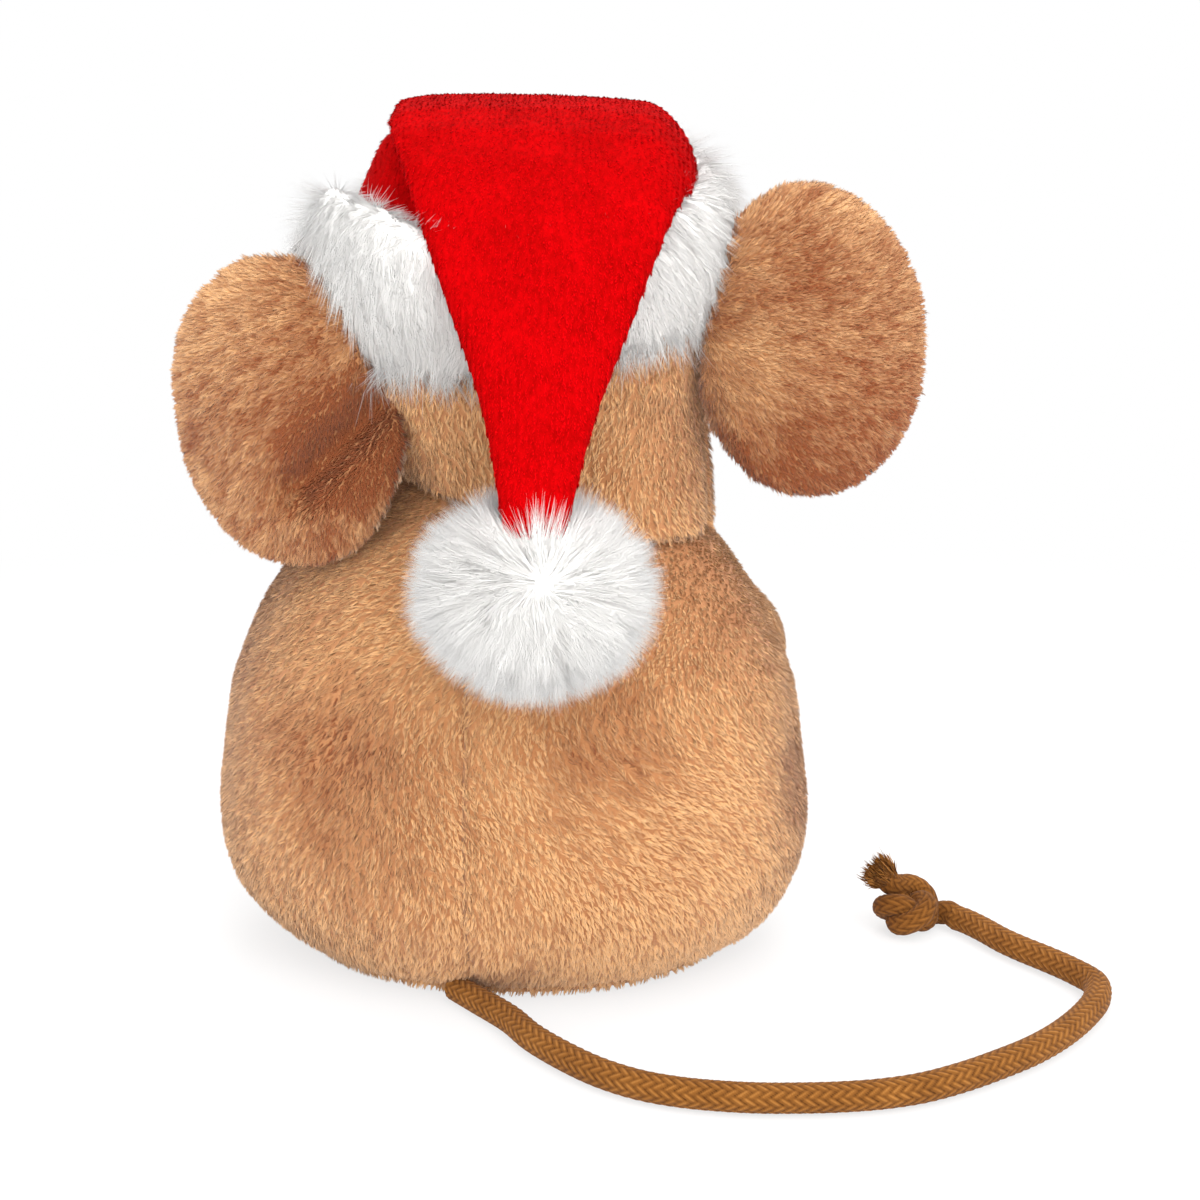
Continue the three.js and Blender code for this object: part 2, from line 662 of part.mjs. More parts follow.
function addTail() {
  const route = new THREE.CatmullRomCurve3(
    CORD_ROUTE.map(([x, y]) => new THREE.Vector3(x, y, CORD_LIFT)),
    false,
    "centripetal",
  );
  const tail = cordAlong(route, CORD_DIAMETER / 2, CORD_SIDES, CORD_STEPS);
  toy.add(meshOf("tail_cord", tail.subtract(bodyClearance), cordBrown));
  const points = knotPoints();
  const knotCurve = new THREE.CatmullRomCurve3(points, false, "centripetal");
  const [endX, endY] = CORD_ROUTE.at(-1);
  const lead = points[0].clone().applyAxisAngle(new THREE.Vector3(0, 0, 1), KNOT_TURN);
  const lowest = Math.min(...points.map(({ z }) => z)) - knotDiameter / 2;
  const knotPlace = [endX - lead.x + KNOT_SHIFT[0], endY - lead.y + KNOT_SHIFT[1], SEAM_GAP - lowest];
  const knot = placed("knot", toy, knotPlace, [0, 0, KNOT_TURN]);
  const tied = cordAlong(knotCurve, knotDiameter / 2, KNOT_SIDES, KNOT_STEPS);
  knot.add(meshOf("tail_knot", tied, cordBrown));
  const gap = leastGap(knotCurve, knotDiameter, 4 * KNOT_STEPS);
  console.log(`The knot's least gap to itself is ${gap.toFixed(2)} mm`);
}

addBody();
addSqueaker();
addHead();
addFace();
addHat();
addFlapAndPompom();
EARS.forEach(addEar);
addLimbs();
addTail();

export default toy;
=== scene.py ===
import math

import bpy
import numpy as np
from mathutils import Matrix, Vector
from mathutils.bvhtree import BVHTree
from mathutils.kdtree import KDTree


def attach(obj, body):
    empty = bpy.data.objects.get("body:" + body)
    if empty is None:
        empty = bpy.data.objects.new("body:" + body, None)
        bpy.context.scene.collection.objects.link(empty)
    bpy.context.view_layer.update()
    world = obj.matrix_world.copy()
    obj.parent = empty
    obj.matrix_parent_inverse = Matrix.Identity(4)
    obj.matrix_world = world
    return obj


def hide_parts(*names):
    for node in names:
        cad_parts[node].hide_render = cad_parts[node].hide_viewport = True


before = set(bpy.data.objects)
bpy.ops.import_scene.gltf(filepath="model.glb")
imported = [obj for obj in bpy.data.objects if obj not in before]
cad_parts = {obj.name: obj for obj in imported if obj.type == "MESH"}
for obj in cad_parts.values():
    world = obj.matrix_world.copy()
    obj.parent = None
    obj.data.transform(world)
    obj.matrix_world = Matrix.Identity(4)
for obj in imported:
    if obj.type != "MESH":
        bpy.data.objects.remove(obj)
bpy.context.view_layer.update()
scene = bpy.context.scene

# Camera: at the back of the mouse, a little to its right and above
CAMERA_PLACE = (0.09208, -0.44878, 0.18704)
CAMERA_TURN = math.radians(9)
CAMERA_DROP = math.radians(13)
LENS = 60
SENSOR = 36
PHOTO_SIDE = 1200


def aimed(place, way):
    """Where a camera or lamp stands that looks a certain way."""
    return Matrix.Translation(place) @ way.to_track_quat("-Z", "Y").to_matrix().to_4x4()


def add_camera():
    data = bpy.data.cameras.new("camera")
    data.lens = LENS
    data.sensor_width = SENSOR
    data.clip_start = 0.01
    camera = bpy.data.objects.new("camera", data)
    level = math.cos(CAMERA_DROP)
    way = Vector((-math.sin(CAMERA_TURN) * level, math.cos(CAMERA_TURN) * level, -math.sin(CAMERA_DROP)))
    camera.matrix_world = aimed(CAMERA_PLACE, way)
    scene.collection.objects.link(camera)
    scene.camera = camera


add_camera()


# Small tools
def only(*objects):
    bpy.ops.object.select_all(action="DESELECT")
    for thing in objects:
        thing.select_set(True)
        bpy.context.view_layer.objects.active = thing


def apply_modifier(thing, kind, **settings):
    only(thing)
    modifier = thing.modifiers.new(kind.lower(), kind)
    for key, value in settings.items():
        setattr(modifier, key, value)
    bpy.ops.object.modifier_apply(modifier=modifier.name)


def edit(thing, *steps):
    """Runs mesh operators, each on the whole mesh."""
    only(thing)
    bpy.ops.object.mode_set(mode="EDIT")
    for operator, settings in steps:
        bpy.ops.mesh.select_all(action="SELECT")
        operator(**settings)
    bpy.ops.object.mode_set(mode="OBJECT")


def places(thing):
    flat = np.empty(len(thing.data.vertices) * 3, np.float32)
    thing.data.vertices.foreach_get("co", flat)
    return flat.reshape(-1, 3).astype(float)


def set_places(thing, points):
    thing.data.vertices.foreach_set("co", np.asarray(points, np.float32).ravel())
    thing.data.update()


def outward(thing):
    flat = np.empty(len(thing.data.vertices) * 3, np.float32)
    thing.data.vertices.foreach_get("normal", flat)
    return flat.reshape(-1, 3).astype(float)


def unit(vectors):
    return vectors / np.maximum(np.linalg.norm(vectors, axis=1, keepdims=True), 1e-12)


def in_metres(matrix, points):
    turned = np.asarray(points) @ np.array(matrix.to_3x3()).T
    return turned + np.array(matrix.translation)


WANDER_TABLE = 4096


def wander(points, size, seed):
    """Smooth random values from -1 to 1 over space, with lumps of a size."""
    table = np.random.default_rng(seed).uniform(-1, 1, WANDER_TABLE)
    cell = np.asarray(points) / size
    low = np.floor(cell).astype(np.int64)
    part = cell - low
    part = part * part * (3 - 2 * part)
    total = 0
    for dx in (0, 1):
        for dy in (0, 1):
            for dz in (0, 1):
                key = (low[:, 0] + dx) * 73856093 ^ (low[:, 1] + dy) * 19349663 ^ (low[:, 2] + dz) * 83492791
                share = np.abs(np.array([1 - dx, 1 - dy, 1 - dz]) - part).prod(axis=1)
                total = total + table[key & WANDER_TABLE - 1] * share
    return total


def streaks(points, flow, size, reach, seed):
    """Smooth random values drawn out along the way the pile is combed."""
    steps = np.linspace(-reach, reach, 5)
    return 1.7 * sum(wander(points + flow * step, size, seed) for step in steps) / len(steps)


def near(points, place, radius):
    """1 at a place, fading to 0 around it."""
    return np.exp(-((np.linalg.norm(points - place, axis=1) / radius) ** 2))


def on_seam(distance, width):
    """1 on a seam, fading to 0 on both sides of it."""
    return np.exp(-((distance / width) ** 2))


def mesh_piece(name, points, faces):
    """A piece from arrays: faces is a list of index arrays, each with one row a face."""
    mesh = bpy.data.meshes.new(name)
    corners = np.concatenate([part.ravel() for part in faces]).astype(np.int32)
    sizes = np.concatenate([np.full(len(part), part.shape[1]) for part in faces]).astype(np.int32)
    mesh.vertices.add(len(points))
    mesh.vertices.foreach_set("co", np.asarray(points, np.float32).ravel())
    mesh.loops.add(len(corners))
    mesh.loops.foreach_set("vertex_index", corners)
    mesh.polygons.add(len(sizes))
    mesh.polygons.foreach_set("loop_start", np.concatenate([[0], np.cumsum(sizes)[:-1]]).astype(np.int32))
    mesh.polygons.foreach_set("use_smooth", np.ones(len(sizes), bool))
    mesh.update(calc_edges=True)
    piece = bpy.data.objects.new(name, mesh)
    scene.collection.objects.link(piece)
    return piece


def give(piece, finish):
    piece.data.materials.clear()
    piece.data.materials.append(finish)


# Finishes
class Wire:
    """A socket whose sums, differences and products add Math nodes."""

    def __init__(self, nodes, socket):
        self.nodes = nodes
        self.socket = socket

    def math(self, operation, *values):
        return self.nodes.node("ShaderNodeMath", {"operation": operation}, dict(enumerate(values)))

    def __add__(self, other):
        return self.math("ADD", self, other)

    def __radd__(self, other):
        return self.math("ADD", other, self)

    def __sub__(self, other):
        return self.math("SUBTRACT", self, other)

    def __rsub__(self, other):
        return self.math("SUBTRACT", other, self)

    def __mul__(self, other):
        return self.math("MULTIPLY", self, other)

    def __rmul__(self, other):
        return self.math("MULTIPLY", other, self)

    def at_least(self, other):
        return self.math("MAXIMUM", self, other)


class Nodes:
    """A node tree under construction."""

    def __init__(self, tree):
        self.tree = tree

    def node(self, kind, settings=None, values=None, output=0):
        made = self.tree.nodes.new(kind)
        for key, value in (settings or {}).items():
            if key == "stops":
                ramp = made.color_ramp
                while len(ramp.elements) < len(value):
                    ramp.elements.new(0.5)
                for element, (place, color) in zip(ramp.elements, value):
                    element.position = place
                    element.color = (*color, 1)
            else:
                setattr(made, key, value)
        for key, value in (values or {}).items():
            if isinstance(value, Wire):
                self.tree.links.new(value.socket, made.inputs[key])
            else:
                made.inputs[key].default_value = value
        return Wire(self, made.outputs[output])

    def rays(self, *kinds):
        """1 for rays of any of the kinds."""
        first, *others = (self.node("ShaderNodeLightPath", output=f"Is {kind} Ray") for kind in kinds)
        for other in others:
            first = first.at_least(other)
        return first

    def choose(self, share, first, second, output):
        """Mixes two shaders into the tree's output."""
        mixed = self.node("ShaderNodeMixShader", None, {0: share, 1: first, 2: second})
        self.tree.links.new(mixed.socket, self.tree.nodes[output].inputs["Surface"])


class Finish(Nodes):
    """A material under construction, with one Principled shader."""

    def __init__(self, name, **plain):
        self.material = bpy.data.materials.new(name)
        self.material.use_nodes = True
        super().__init__(self.material.node_tree)
        self.shader = self.tree.nodes["Principled BSDF"]
        for key, value in plain.items():
            self.shader.inputs[key.replace("_", " ")].default_value = value

    def feed(self, **wires):
        for key, wire in wires.items():
            self.tree.links.new(wire.socket, self.shader.inputs[key.replace("_", " ")])
        return self.material

    def coordinates(self):
        return self.node("ShaderNodeTexCoord", output="Object")

    def noise(self, size, detail=3.0, rough=0.55, stretch=(1, 1, 1)):
        """Noise with lumps of a size in metres, from 0 to 1."""
        scale = [share / size for share in stretch]
        where = self.node("ShaderNodeVectorMath", {"operation": "MULTIPLY"}, {0: self.coordinates(), 1: scale})
        settings = {"Vector": where, "Scale": 1.0, "Detail": detail, "Roughness": rough}
        return self.node("ShaderNodeTexNoise", None, settings)

    def spread(self, value, low, high):
        """Brings the range between two values to 0 to 1."""
        return self.node("ShaderNodeMapRange", None, {0: value, 1: low, 2: high, 3: 0.0, 4: 1.0})

    def mix(self, share, first, second):
        return self.node("ShaderNodeMix", {"data_type": "RGBA"}, {0: share, 6: first, 7: second}, output=2)

    def bump(self, height, strength, distance):
        return self.node("ShaderNodeBump", None, {"Strength": strength, "Distance": distance, "Height": height})


def rgba(r, g, b):
    return (r, g, b, 1.0)


NOISE_MIDDLE = (0.35, 0.65)


def cloth_finish(name, dark, light, patch=0.02, sheen=0.2):
    """Backing cloth under a pile: patches of two tones and a fine loop texture."""
    finish = Finish(name, Roughness=0.92, Sheen_Weight=sheen, Sheen_Roughness=0.6, Specular_IOR_Level=0.2)
    patches = finish.noise(patch, 3)
    loops = finish.noise(0.0007, 2)
    tone = finish.spread(patches * 0.7 + loops * 0.3, *NOISE_MIDDLE)
    return finish.feed(
        Base_Color=finish.mix(tone, rgba(*dark), rgba(*light)),
        Roughness=0.98 - patches * 0.12,
        Normal=finish.bump(loops, 0.5, 0.0004),
    )


PILE_MAP = "OFBake"
STRAND_MIDDLE = 0.45


def pile_finish(name, roots, middles, tips, sheen=0.25, rough=0.75, shine=0.2):
    """Strands read their map: across it runs the strand's own tone, and up it the way from root to tip, along which
    shade is painted, darker toward the root.
    """
    finish = Finish(name, Roughness=rough, Sheen_Weight=sheen, Sheen_Roughness=0.5, Specular_IOR_Level=shine)
    place = finish.node("ShaderNodeUVMap", {"uv_map": PILE_MAP})
    tone, along = (finish.node("ShaderNodeSeparateXYZ", None, {0: place}, output=axis) for axis in (0, 1))
    root, middle, tip = (
        finish.node("ShaderNodeValToRGB", {"stops": [(0.0, dark), (1.0, light)]}, {0: tone})
        for dark, light in (roots, middles, tips)
    )
    # Painted shade: each strand darkens from its tip down to its root
    low = finish.mix(finish.spread(along, 0.0, STRAND_MIDDLE), root, middle)
    full = finish.mix(finish.spread(along, STRAND_MIDDLE, 1.0), low, tip)
    return finish.feed(Base_Color=full, Roughness=rough + 0.2 - along * 0.15)


tan_skin = cloth_finish("tan_backing", (0.34, 0.13, 0.045), (0.5, 0.225, 0.09))
pale_skin = cloth_finish("pale_backing", (0.3, 0.18, 0.1), (0.42, 0.27, 0.16))
white_skin = cloth_finish("white_backing", (0.86, 0.85, 0.83), (0.93, 0.92, 0.9), patch=0.01)
nose_skin = cloth_finish("nose_backing", (0.02, 0.01, 0.006), (0.05, 0.025, 0.014), patch=0.004)
# Each pile gives colours for the root end, the middle and the tip; the darker root colours hold painted shade
tan_pile = pile_finish(
    "tan_pile",
    ((0.13, 0.03, 0.008), (0.51, 0.225, 0.085)),
    ((0.23, 0.057, 0.016), (0.77, 0.42, 0.185)),
    ((0.33, 0.084, 0.024), (0.91, 0.56, 0.29)),
)
pale_pile = pile_finish(
    "pale_pile",
    ((0.42, 0.21, 0.11), (0.62, 0.37, 0.22)),
    ((0.6, 0.34, 0.19), (0.84, 0.56, 0.35)),
    ((0.7, 0.42, 0.25), (0.95, 0.7, 0.47)),
)
white_pile = pile_finish(
    "white_fur",
    ((0.84, 0.81, 0.78), (0.92, 0.9, 0.88)),
    ((0.9, 0.88, 0.85), (0.94, 0.925, 0.9)),
    ((0.93, 0.91, 0.88), (0.96, 0.95, 0.93)),
    sheen=1.0,
    rough=0.6,
)
red_pile = pile_finish(
    "red_pile",
    ((0.3, 0.0, 0.0), (0.58, 0.0, 0.001)),
    ((0.4, 0.0, 0.0), (0.71, 0.0, 0.002)),
    ((0.49, 0.0, 0.001), (0.79, 0.001, 0.004)),
    sheen=0.0,
    shine=0.03,
)
nose_pile = pile_finish(
    "nose_pile",
    ((0.02, 0.01, 0.006), (0.05, 0.025, 0.014)),
    ((0.04, 0.02, 0.012), (0.09, 0.045, 0.025)),
    ((0.06, 0.03, 0.018), (0.14, 0.07, 0.04)),
)


def knit_finish():
    """Red knit backing under the pile: patches of two tones and loops drawn out down the cloth."""
    finish = Finish("red_knit", Roughness=0.95, Specular_IOR_Level=0.03)
    patches = finish.noise(0.012, 2)
    loops = finish.noise(0.0009, 2, stretch=(1, 0.5, 0.5))
    tone = finish.spread(loops * 0.6 + patches * 0.4, *NOISE_MIDDLE)
    return finish.feed(
        Base_Color=finish.mix(tone, rgba(0.28, 0.0, 0.0), rgba(0.48, 0.0, 0.001)),
        Normal=finish.bump(loops, 0.6, 0.0005),
    )


red_knit = knit_finish()


def braid_finish():
    """Cotton braid: the yarn's tone, with shade painted into it, comes with the piece, and fibres break it up."""
    finish = Finish("cotton_braid", Roughness=0.9, Sheen_Weight=0.05, Sheen_Roughness=0.5, Specular_IOR_Level=0.12)
    tone = finish.node("ShaderNodeAttribute", {"attribute_name": "yarn"}, output="Fac")
    fibres = finish.noise(0.0005, 2)
    stops = [
        (0.0, (0.025, 0.007, 0.001)),
        (0.4, (0.11, 0.038, 0.006)),
        (0.75, (0.235, 0.089, 0.016)),
        (1.0, (0.39, 0.17, 0.04)),
    ]
    color = finish.node("ShaderNodeValToRGB", {"stops": stops}, {0: tone * 0.85 + fibres * 0.15})
    return finish.feed(Base_Color=color, Normal=finish.bump(fibres, 0.4, 0.0002))


braid = braid_finish()


def mottled_finish(name, grain, dark, light, bump=None, rough=None, **plain):
    """Two tones mixed by one noise, which may also vary the height and the roughness."""
    finish = Finish(name, **plain)
    noise = finish.noise(*grain)
    wires = {"Base_Color": finish.mix(noise, rgba(*dark), rgba(*light))}
    if rough:
        wires["Roughness"] = noise * rough[0] + rough[1]
    if bump:
        wires["Normal"] = finish.bump(noise, *bump)
    return finish.feed(**wires)


# Tail: the cord's route is the CAD model's, and its knot is pulled tighter than the one there
CORD_DIAMETER = 0.006
CORD_ROUTE = [
    (-0.005, -0.044), (0.002, -0.0506), (0.0108, -0.059), (0.0171, -0.0669), (0.0258, -0.075), (0.034, -0.081),
    (0.0425, -0.085), (0.0508, -0.0868), (0.0588, -0.0872), (0.0666, -0.0868), (0.0744, -0.0856), (0.0822, -0.0839),
    (0.0901, -0.0814), (0.0981, -0.0775), (0.1063, -0.0714), (0.1144, -0.0638), (0.121, -0.0567), (0.1272, -0.048),
    (0.1327, -0.0376), (0.136, -0.0283), (0.1362, -0.0205), (0.1316, -0.0136), (0.1264, -0.0081), (0.121, -0.003),
    (0.1166, 0.0018), (0.1124, 0.0076), (0.1083, 0.0124), (0.1054, 0.0147),
]
CORD_STEP = 0.00036
KNOT_DIAMETER = 0.0053
KNOT_STEP = 0.0003
KNOT_UNIT = 0.002
KNOT_LEAD = [(4.4, -3, -0.8), (4.2, -2, -1.0), (3.8, -0.6, -1.2), (3.1, 0.65, -0.69)]
KNOT_STUB = [(3.1, -0.5, 0.7), (2.9, 0.5, 1.7), (1.9, 1.3, 2.3), (0.4, 1.8, 2.5), (-0.5, 2.2, 2.9), (-1.0, 2.8, 3.8)]
KNOT_OPEN = 0.055
KNOT_TURN = math.radians(54)
KNOT_SIZES = ((0, 1.09), (0.06, 1.08), (0.16, 1), (0.93, 1), (1, 1.1))
BRAID_CARRIERS = 12
BRAID_LAY = 4.6
ROUND_END = 0.08


def smooth_route(points, step):
    """Evenly spaced points on a centripetal spline through points, and its length."""
    points = np.asarray(points, float)
    ends = [2 * points[0] - points[1], *points, 2 * points[-1] - points[-2]]
    fine = []
    for before, start, end, after in zip(ends, ends[1:], ends[2:], ends[3:]):
        gaps = [max(np.linalg.norm(b - a) ** 0.5, 1e-6) for a, b in ((before, start), (start, end), (end, after))]
        leave = (start - before) / gaps[0] - (end - before) / (gaps[0] + gaps[1]) + (end - start) / gaps[1]
        arrive = (end - start) / gaps[1] - (after - start) / (gaps[1] + gaps[2]) + (after - end) / gaps[2]
        leave, arrive = leave * gaps[1], arrive * gaps[1]
        t = np.linspace(0, 1, 40, endpoint=False)[:, None]
        smooth = 3 * t**2 - 2 * t**3
        fine.append((1 - smooth) * start + (t**3 - 2 * t**2 + t) * leave + smooth * end + (t**3 - t**2) * arrive)
    fine = np.vstack([*fine, points[-1:]])
    run = np.concatenate([[0], np.cumsum(np.linalg.norm(np.diff(fine, axis=0), axis=1))])
    spots = np.linspace(0, run[-1], max(2, round(run[-1] / step)))
    return np.stack([np.interp(spots, run, fine[:, axis]) for axis in range(3)], axis=1), run[-1]


def braided_tube(name, route, length, diameter, sides, sizes=((0, 1), (1, 1)), shade=1.0):
    """A tube of two-over-two braid: yarns of two families cross, and each is three plies wide. Its tone holds
    painted shade where a yarn passes under the other, toward the edges of each yarn and between its plies.
    """
    scale = np.interp(np.linspace(0, 1, len(route)), *zip(*sizes))[:, None]
    along = unit(np.gradient(route, axis=0))
    side = np.zeros_like(route)
    start = np.cross(along[0], (0, 0, 1))
    side[0] = start / np.linalg.norm(start)
    for i in range(1, len(route)):
        kept = side[i - 1] - along[i] * (side[i - 1] @ along[i])
        side[i] = kept / np.linalg.norm(kept)
    up = np.cross(along, side)
    angle = np.linspace(0, math.tau, sides, endpoint=False)
    run = np.linspace(0, length, len(route))[:, None]
    turns = BRAID_CARRIERS * angle[None] / math.tau
    lay = BRAID_CARRIERS * run / (BRAID_LAY * diameter)
    a, b = turns + lay, turns - lay
    heights, tones = [], []
    for mine, other, way in ((a, b, 1), (b, a, -1)):
        across = (mine % 1) * 2 - 1
        over = np.clip(0.5 + way * 0.9 * np.sin(math.pi / 2 * (other + np.floor(mine))), 0, 1)
        crown = np.sqrt(np.clip(1 - 0.95 * across**2, 0, 1))
        plies = np.abs(np.sin(1.5 * math.pi * (mine % 1)))
        heights.append(crown * (0.45 + 0.55 * over) * (0.86 + 0.14 * plies))
        # Painted shade in the tone: darker where a yarn passes under the other, toward its edges and between its plies
        tones.append(crown * (0.35 + 0.65 * over) * (0.66 + 0.34 * plies))
    height = np.maximum(*heights)
    tone = np.where(heights[0] > heights[1], *tones)
    closing = np.clip(np.minimum(run, length - run) / (ROUND_END * diameter), 0, 1) ** 0.5
    radius = diameter / 2 * scale * (0.9 + 0.12 * height) * np.maximum(closing, 0.02)
    out = np.cos(angle)[None, :, None] * side[:, None] + np.sin(angle)[None, :, None] * up[:, None]
    points = route[:, None] + radius[..., None] * out
    count = len(route)
    index = np.arange(count * sides).reshape(count, sides)
    nexts = np.roll(index, -1, axis=1)
    quads = np.stack([index[:-1], nexts[:-1], nexts[1:], index[1:]], axis=-1).reshape(-1, 4)
    ends = [count * sides, count * sides + 1]
    first = np.stack([np.full(sides, ends[0]), nexts[0], index[0]], axis=1)
    last = np.stack([np.full(sides, ends[1]), index[-1], nexts[-1]], axis=1)
    piece = mesh_piece(name, np.vstack([points.reshape(-1, 3), route[:1], route[-1:]]), [quads, first, last])
    tone = shade * tone + 0.1 * wander(points.reshape(-1, 3), 0.004, 5).reshape(tone.shape)
    values = np.concatenate([tone.ravel(), [0.3, 0.3]]).astype(np.float32)
    piece.data.attributes.new("yarn", "FLOAT", "POINT").data.foreach_set("value", values)
    give(piece, braid)
    return piece


def knot_points():
    """The overhand knot: a lead from the cord, the open turns of a trefoil and the stub."""
    lobes = []
    for i in range(22):
        turn = math.tau * (KNOT_OPEN + (1 - 2 * KNOT_OPEN) * i / 21)
        out = 2 + 0.92 * math.cos(3 * turn)
        lobes.append((out * math.cos(2 * turn), out * math.sin(2 * turn), 1.15 * math.sin(3 * turn)))
    points = np.array([*KNOT_LEAD, *lobes, *KNOT_STUB]) * KNOT_UNIT
    turned = points @ np.array(Matrix.Rotation(KNOT_TURN, 3, "Z")).T
    lift = 0.0002 - (points[:, 2].min() - KNOT_DIAMETER / 2)
    last, before = (np.array([*spot, CORD_DIAMETER / 2]) for spot in (CORD_ROUTE[-1], CORD_ROUTE[-2]))
    away = (last - before) / np.linalg.norm(last - before)
    place = last + away * 0.0012 - turned[0] + (0, 0, lift - last[2] + turned[0][2])
    return np.vstack([last - away * 0.0035, last - away * 0.001, turned + place])


def add_tail():
    route, length = smooth_route([(x, y, CORD_DIAMETER / 2) for x, y in CORD_ROUTE], CORD_STEP)
    cord = braided_tube("tail_cord_braid", route, length, CORD_DIAMETER, 80)
    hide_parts("tail_cord")
    knot_route, knot_length = smooth_route(knot_points(), KNOT_STEP)
    knot = braided_tube("tail_knot_braid", knot_route, knot_length, KNOT_DIAMETER, 64, KNOT_SIZES, shade=0.82)
    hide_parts("tail_knot")
    for piece in (cord, knot):
        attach(piece, "mouse")
    return knot_route


knot_route = add_tail()


# Padding: a closed form swells like a stuffed one, no further than a cap
CLOTH_STEPS = 20
PIN_WIDTH = 0.002


def stuff(piece, cap, pins=None):
    only(piece)
    rest = places(piece)
    group = piece.vertex_groups.new(name="sewn")
    for i, weight in enumerate(np.zeros(len(rest)) if pins is None else pins):
        group.add([i], float(weight), "REPLACE")
    cloth = piece.modifiers.new("cloth", "CLOTH")
    cloth.settings.use_pressure = True
    cloth.settings.uniform_pressure_force = 4
    cloth.settings.effector_weights.gravity = 0
    cloth.settings.vertex_group_mass = group.name
    cloth.point_cache.frame_start = 1
    cloth.point_cache.frame_end = CLOTH_STEPS
    for step in range(1, CLOTH_STEPS + 1):
        scene.frame_set(step)
    bpy.ops.object.modifier_apply(modifier=cloth.name)
    scene.frame_set(1)
    shift = places(piece) - rest
    far = np.linalg.norm(shift, axis=1, keepdims=True)
    set_places(piece, rest + shift * np.minimum(1, cap / np.maximum(far, 1e-9)))
    piece.vertex_groups.clear()


def duplicate(piece, name):
    twin = bpy.data.objects.new(name, piece.data.copy())
    scene.collection.objects.link(twin)
    return twin


def softened(node, suffix, voxel=0.0016, rounds=8):
    """A new piece in the shape of a CAD node, with its edges rounded off."""
    piece = duplicate(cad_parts[node], f"{node}_{suffix}")
    edit(piece, (bpy.ops.mesh.remove_doubles, {"threshold": 0.00001}))
    apply_modifier(piece, "REMESH", mode="VOXEL", voxel_size=voxel, use_smooth_shade=True)
    apply_modifier(piece, "SMOOTH", factor=0.5, iterations=rounds)
    return piece


def cut_away(piece, *planes):
    """Keeps what lies on the outer side of each plane, given as a point and a direction."""
    edit(piece, *(
        (bpy.ops.mesh.bisect, {"plane_co": point, "plane_no": direction, "clear_inner": True, "clear_outer": False})
        for point, direction in planes
    ))


# Strands: the feet and tips of all the strands of a pile or fur, in arrays
PLUSH = {"length": 0.0015, "height": 0.0012, "width": 0.00037}
STRAND_HALF_WALL = 0.00003
STRAND_HALF_TONE = 0.004


def surface_of(piece):
    """Places and normals of a piece's vertices, and its triangles."""
    mesh = piece.data
    mesh.calc_loop_triangles()
    corners = np.empty(len(mesh.loop_triangles) * 3, np.int32)
    mesh.loop_triangles.foreach_get("vertices", corners)
    return places(piece), outward(piece), corners.reshape(-1, 3)


def roots_on(piece, count, seed, keep=None):
    """Random places spread evenly over a piece, their normals, and the generator for further draws."""
    points, normals, corners = surface_of(piece)
    a, b, c = (points[corners[:, i]] for i in range(3))
    area = np.linalg.norm(np.cross(b - a, c - a), axis=1) / 2
    if keep is not None:
        area = area * keep((a + b + c) / 3, unit(np.cross(b - a, c - a)))
    random = np.random.default_rng(seed)
    chosen = random.choice(len(area), count, p=area / area.sum())
    u, v = random.random((2, count, 1))
    fold = u + v > 1
    u, v = np.where(fold, 1 - u, u), np.where(fold, 1 - v, v)
    spots = [values[corners[chosen, i]] for i in range(3) for values in (points, normals)]
    root = spots[0] * (1 - u - v) + spots[2] * u + spots[4] * v
    normal = unit(spots[1] * (1 - u - v) + spots[3] * u + spots[5] * v)
    return root, normal, random


def shorten(points, outside):
    """Strands that would enter a neighbour end before it."""
    share = np.ones(len(points))
    open_yet = np.ones(len(points), bool)
    for size in np.arange(1.0, 0.15, -0.12):
        tips = points[open_yet, :1] + (points[open_yet, 1:] - points[open_yet, :1]) * size
        clear = outside(tips.reshape(-1, 3)).reshape(tips.shape[:2]).all(axis=1)
        share[open_yet] = size
        open_yet[np.flatnonzero(open_yet)[clear]] = False
    return points[:, :1] + (points - points[:, :1]) * share[:, None, None]


WELL_AWAY = 0.03


def away_from(*pieces, gap=0.0004):
    """True for points at least a gap outside each piece."""
    trees = []
    for piece in pieces:
        corners = [corner.co for corner in piece.data.vertices]
        trees.append(BVHTree.FromPolygons(corners, [tuple(face.vertices) for face in piece.data.polygons]))

    def outside(points):
        clear = np.ones(len(points), bool)
        for tree in trees:
            for i, point in enumerate(points):
                spot, facing, _, distance = tree.find_nearest(Vector(point))
                if distance < WELL_AWAY and (Vector(point) - spot).dot(facing) < gap:
                    clear[i] = False
        return clear

    return outside


def across_surface(way, normal):
    """The part of a way that lies in the surface."""
    return way - normal * (way * normal).sum(axis=1, keepdims=True)


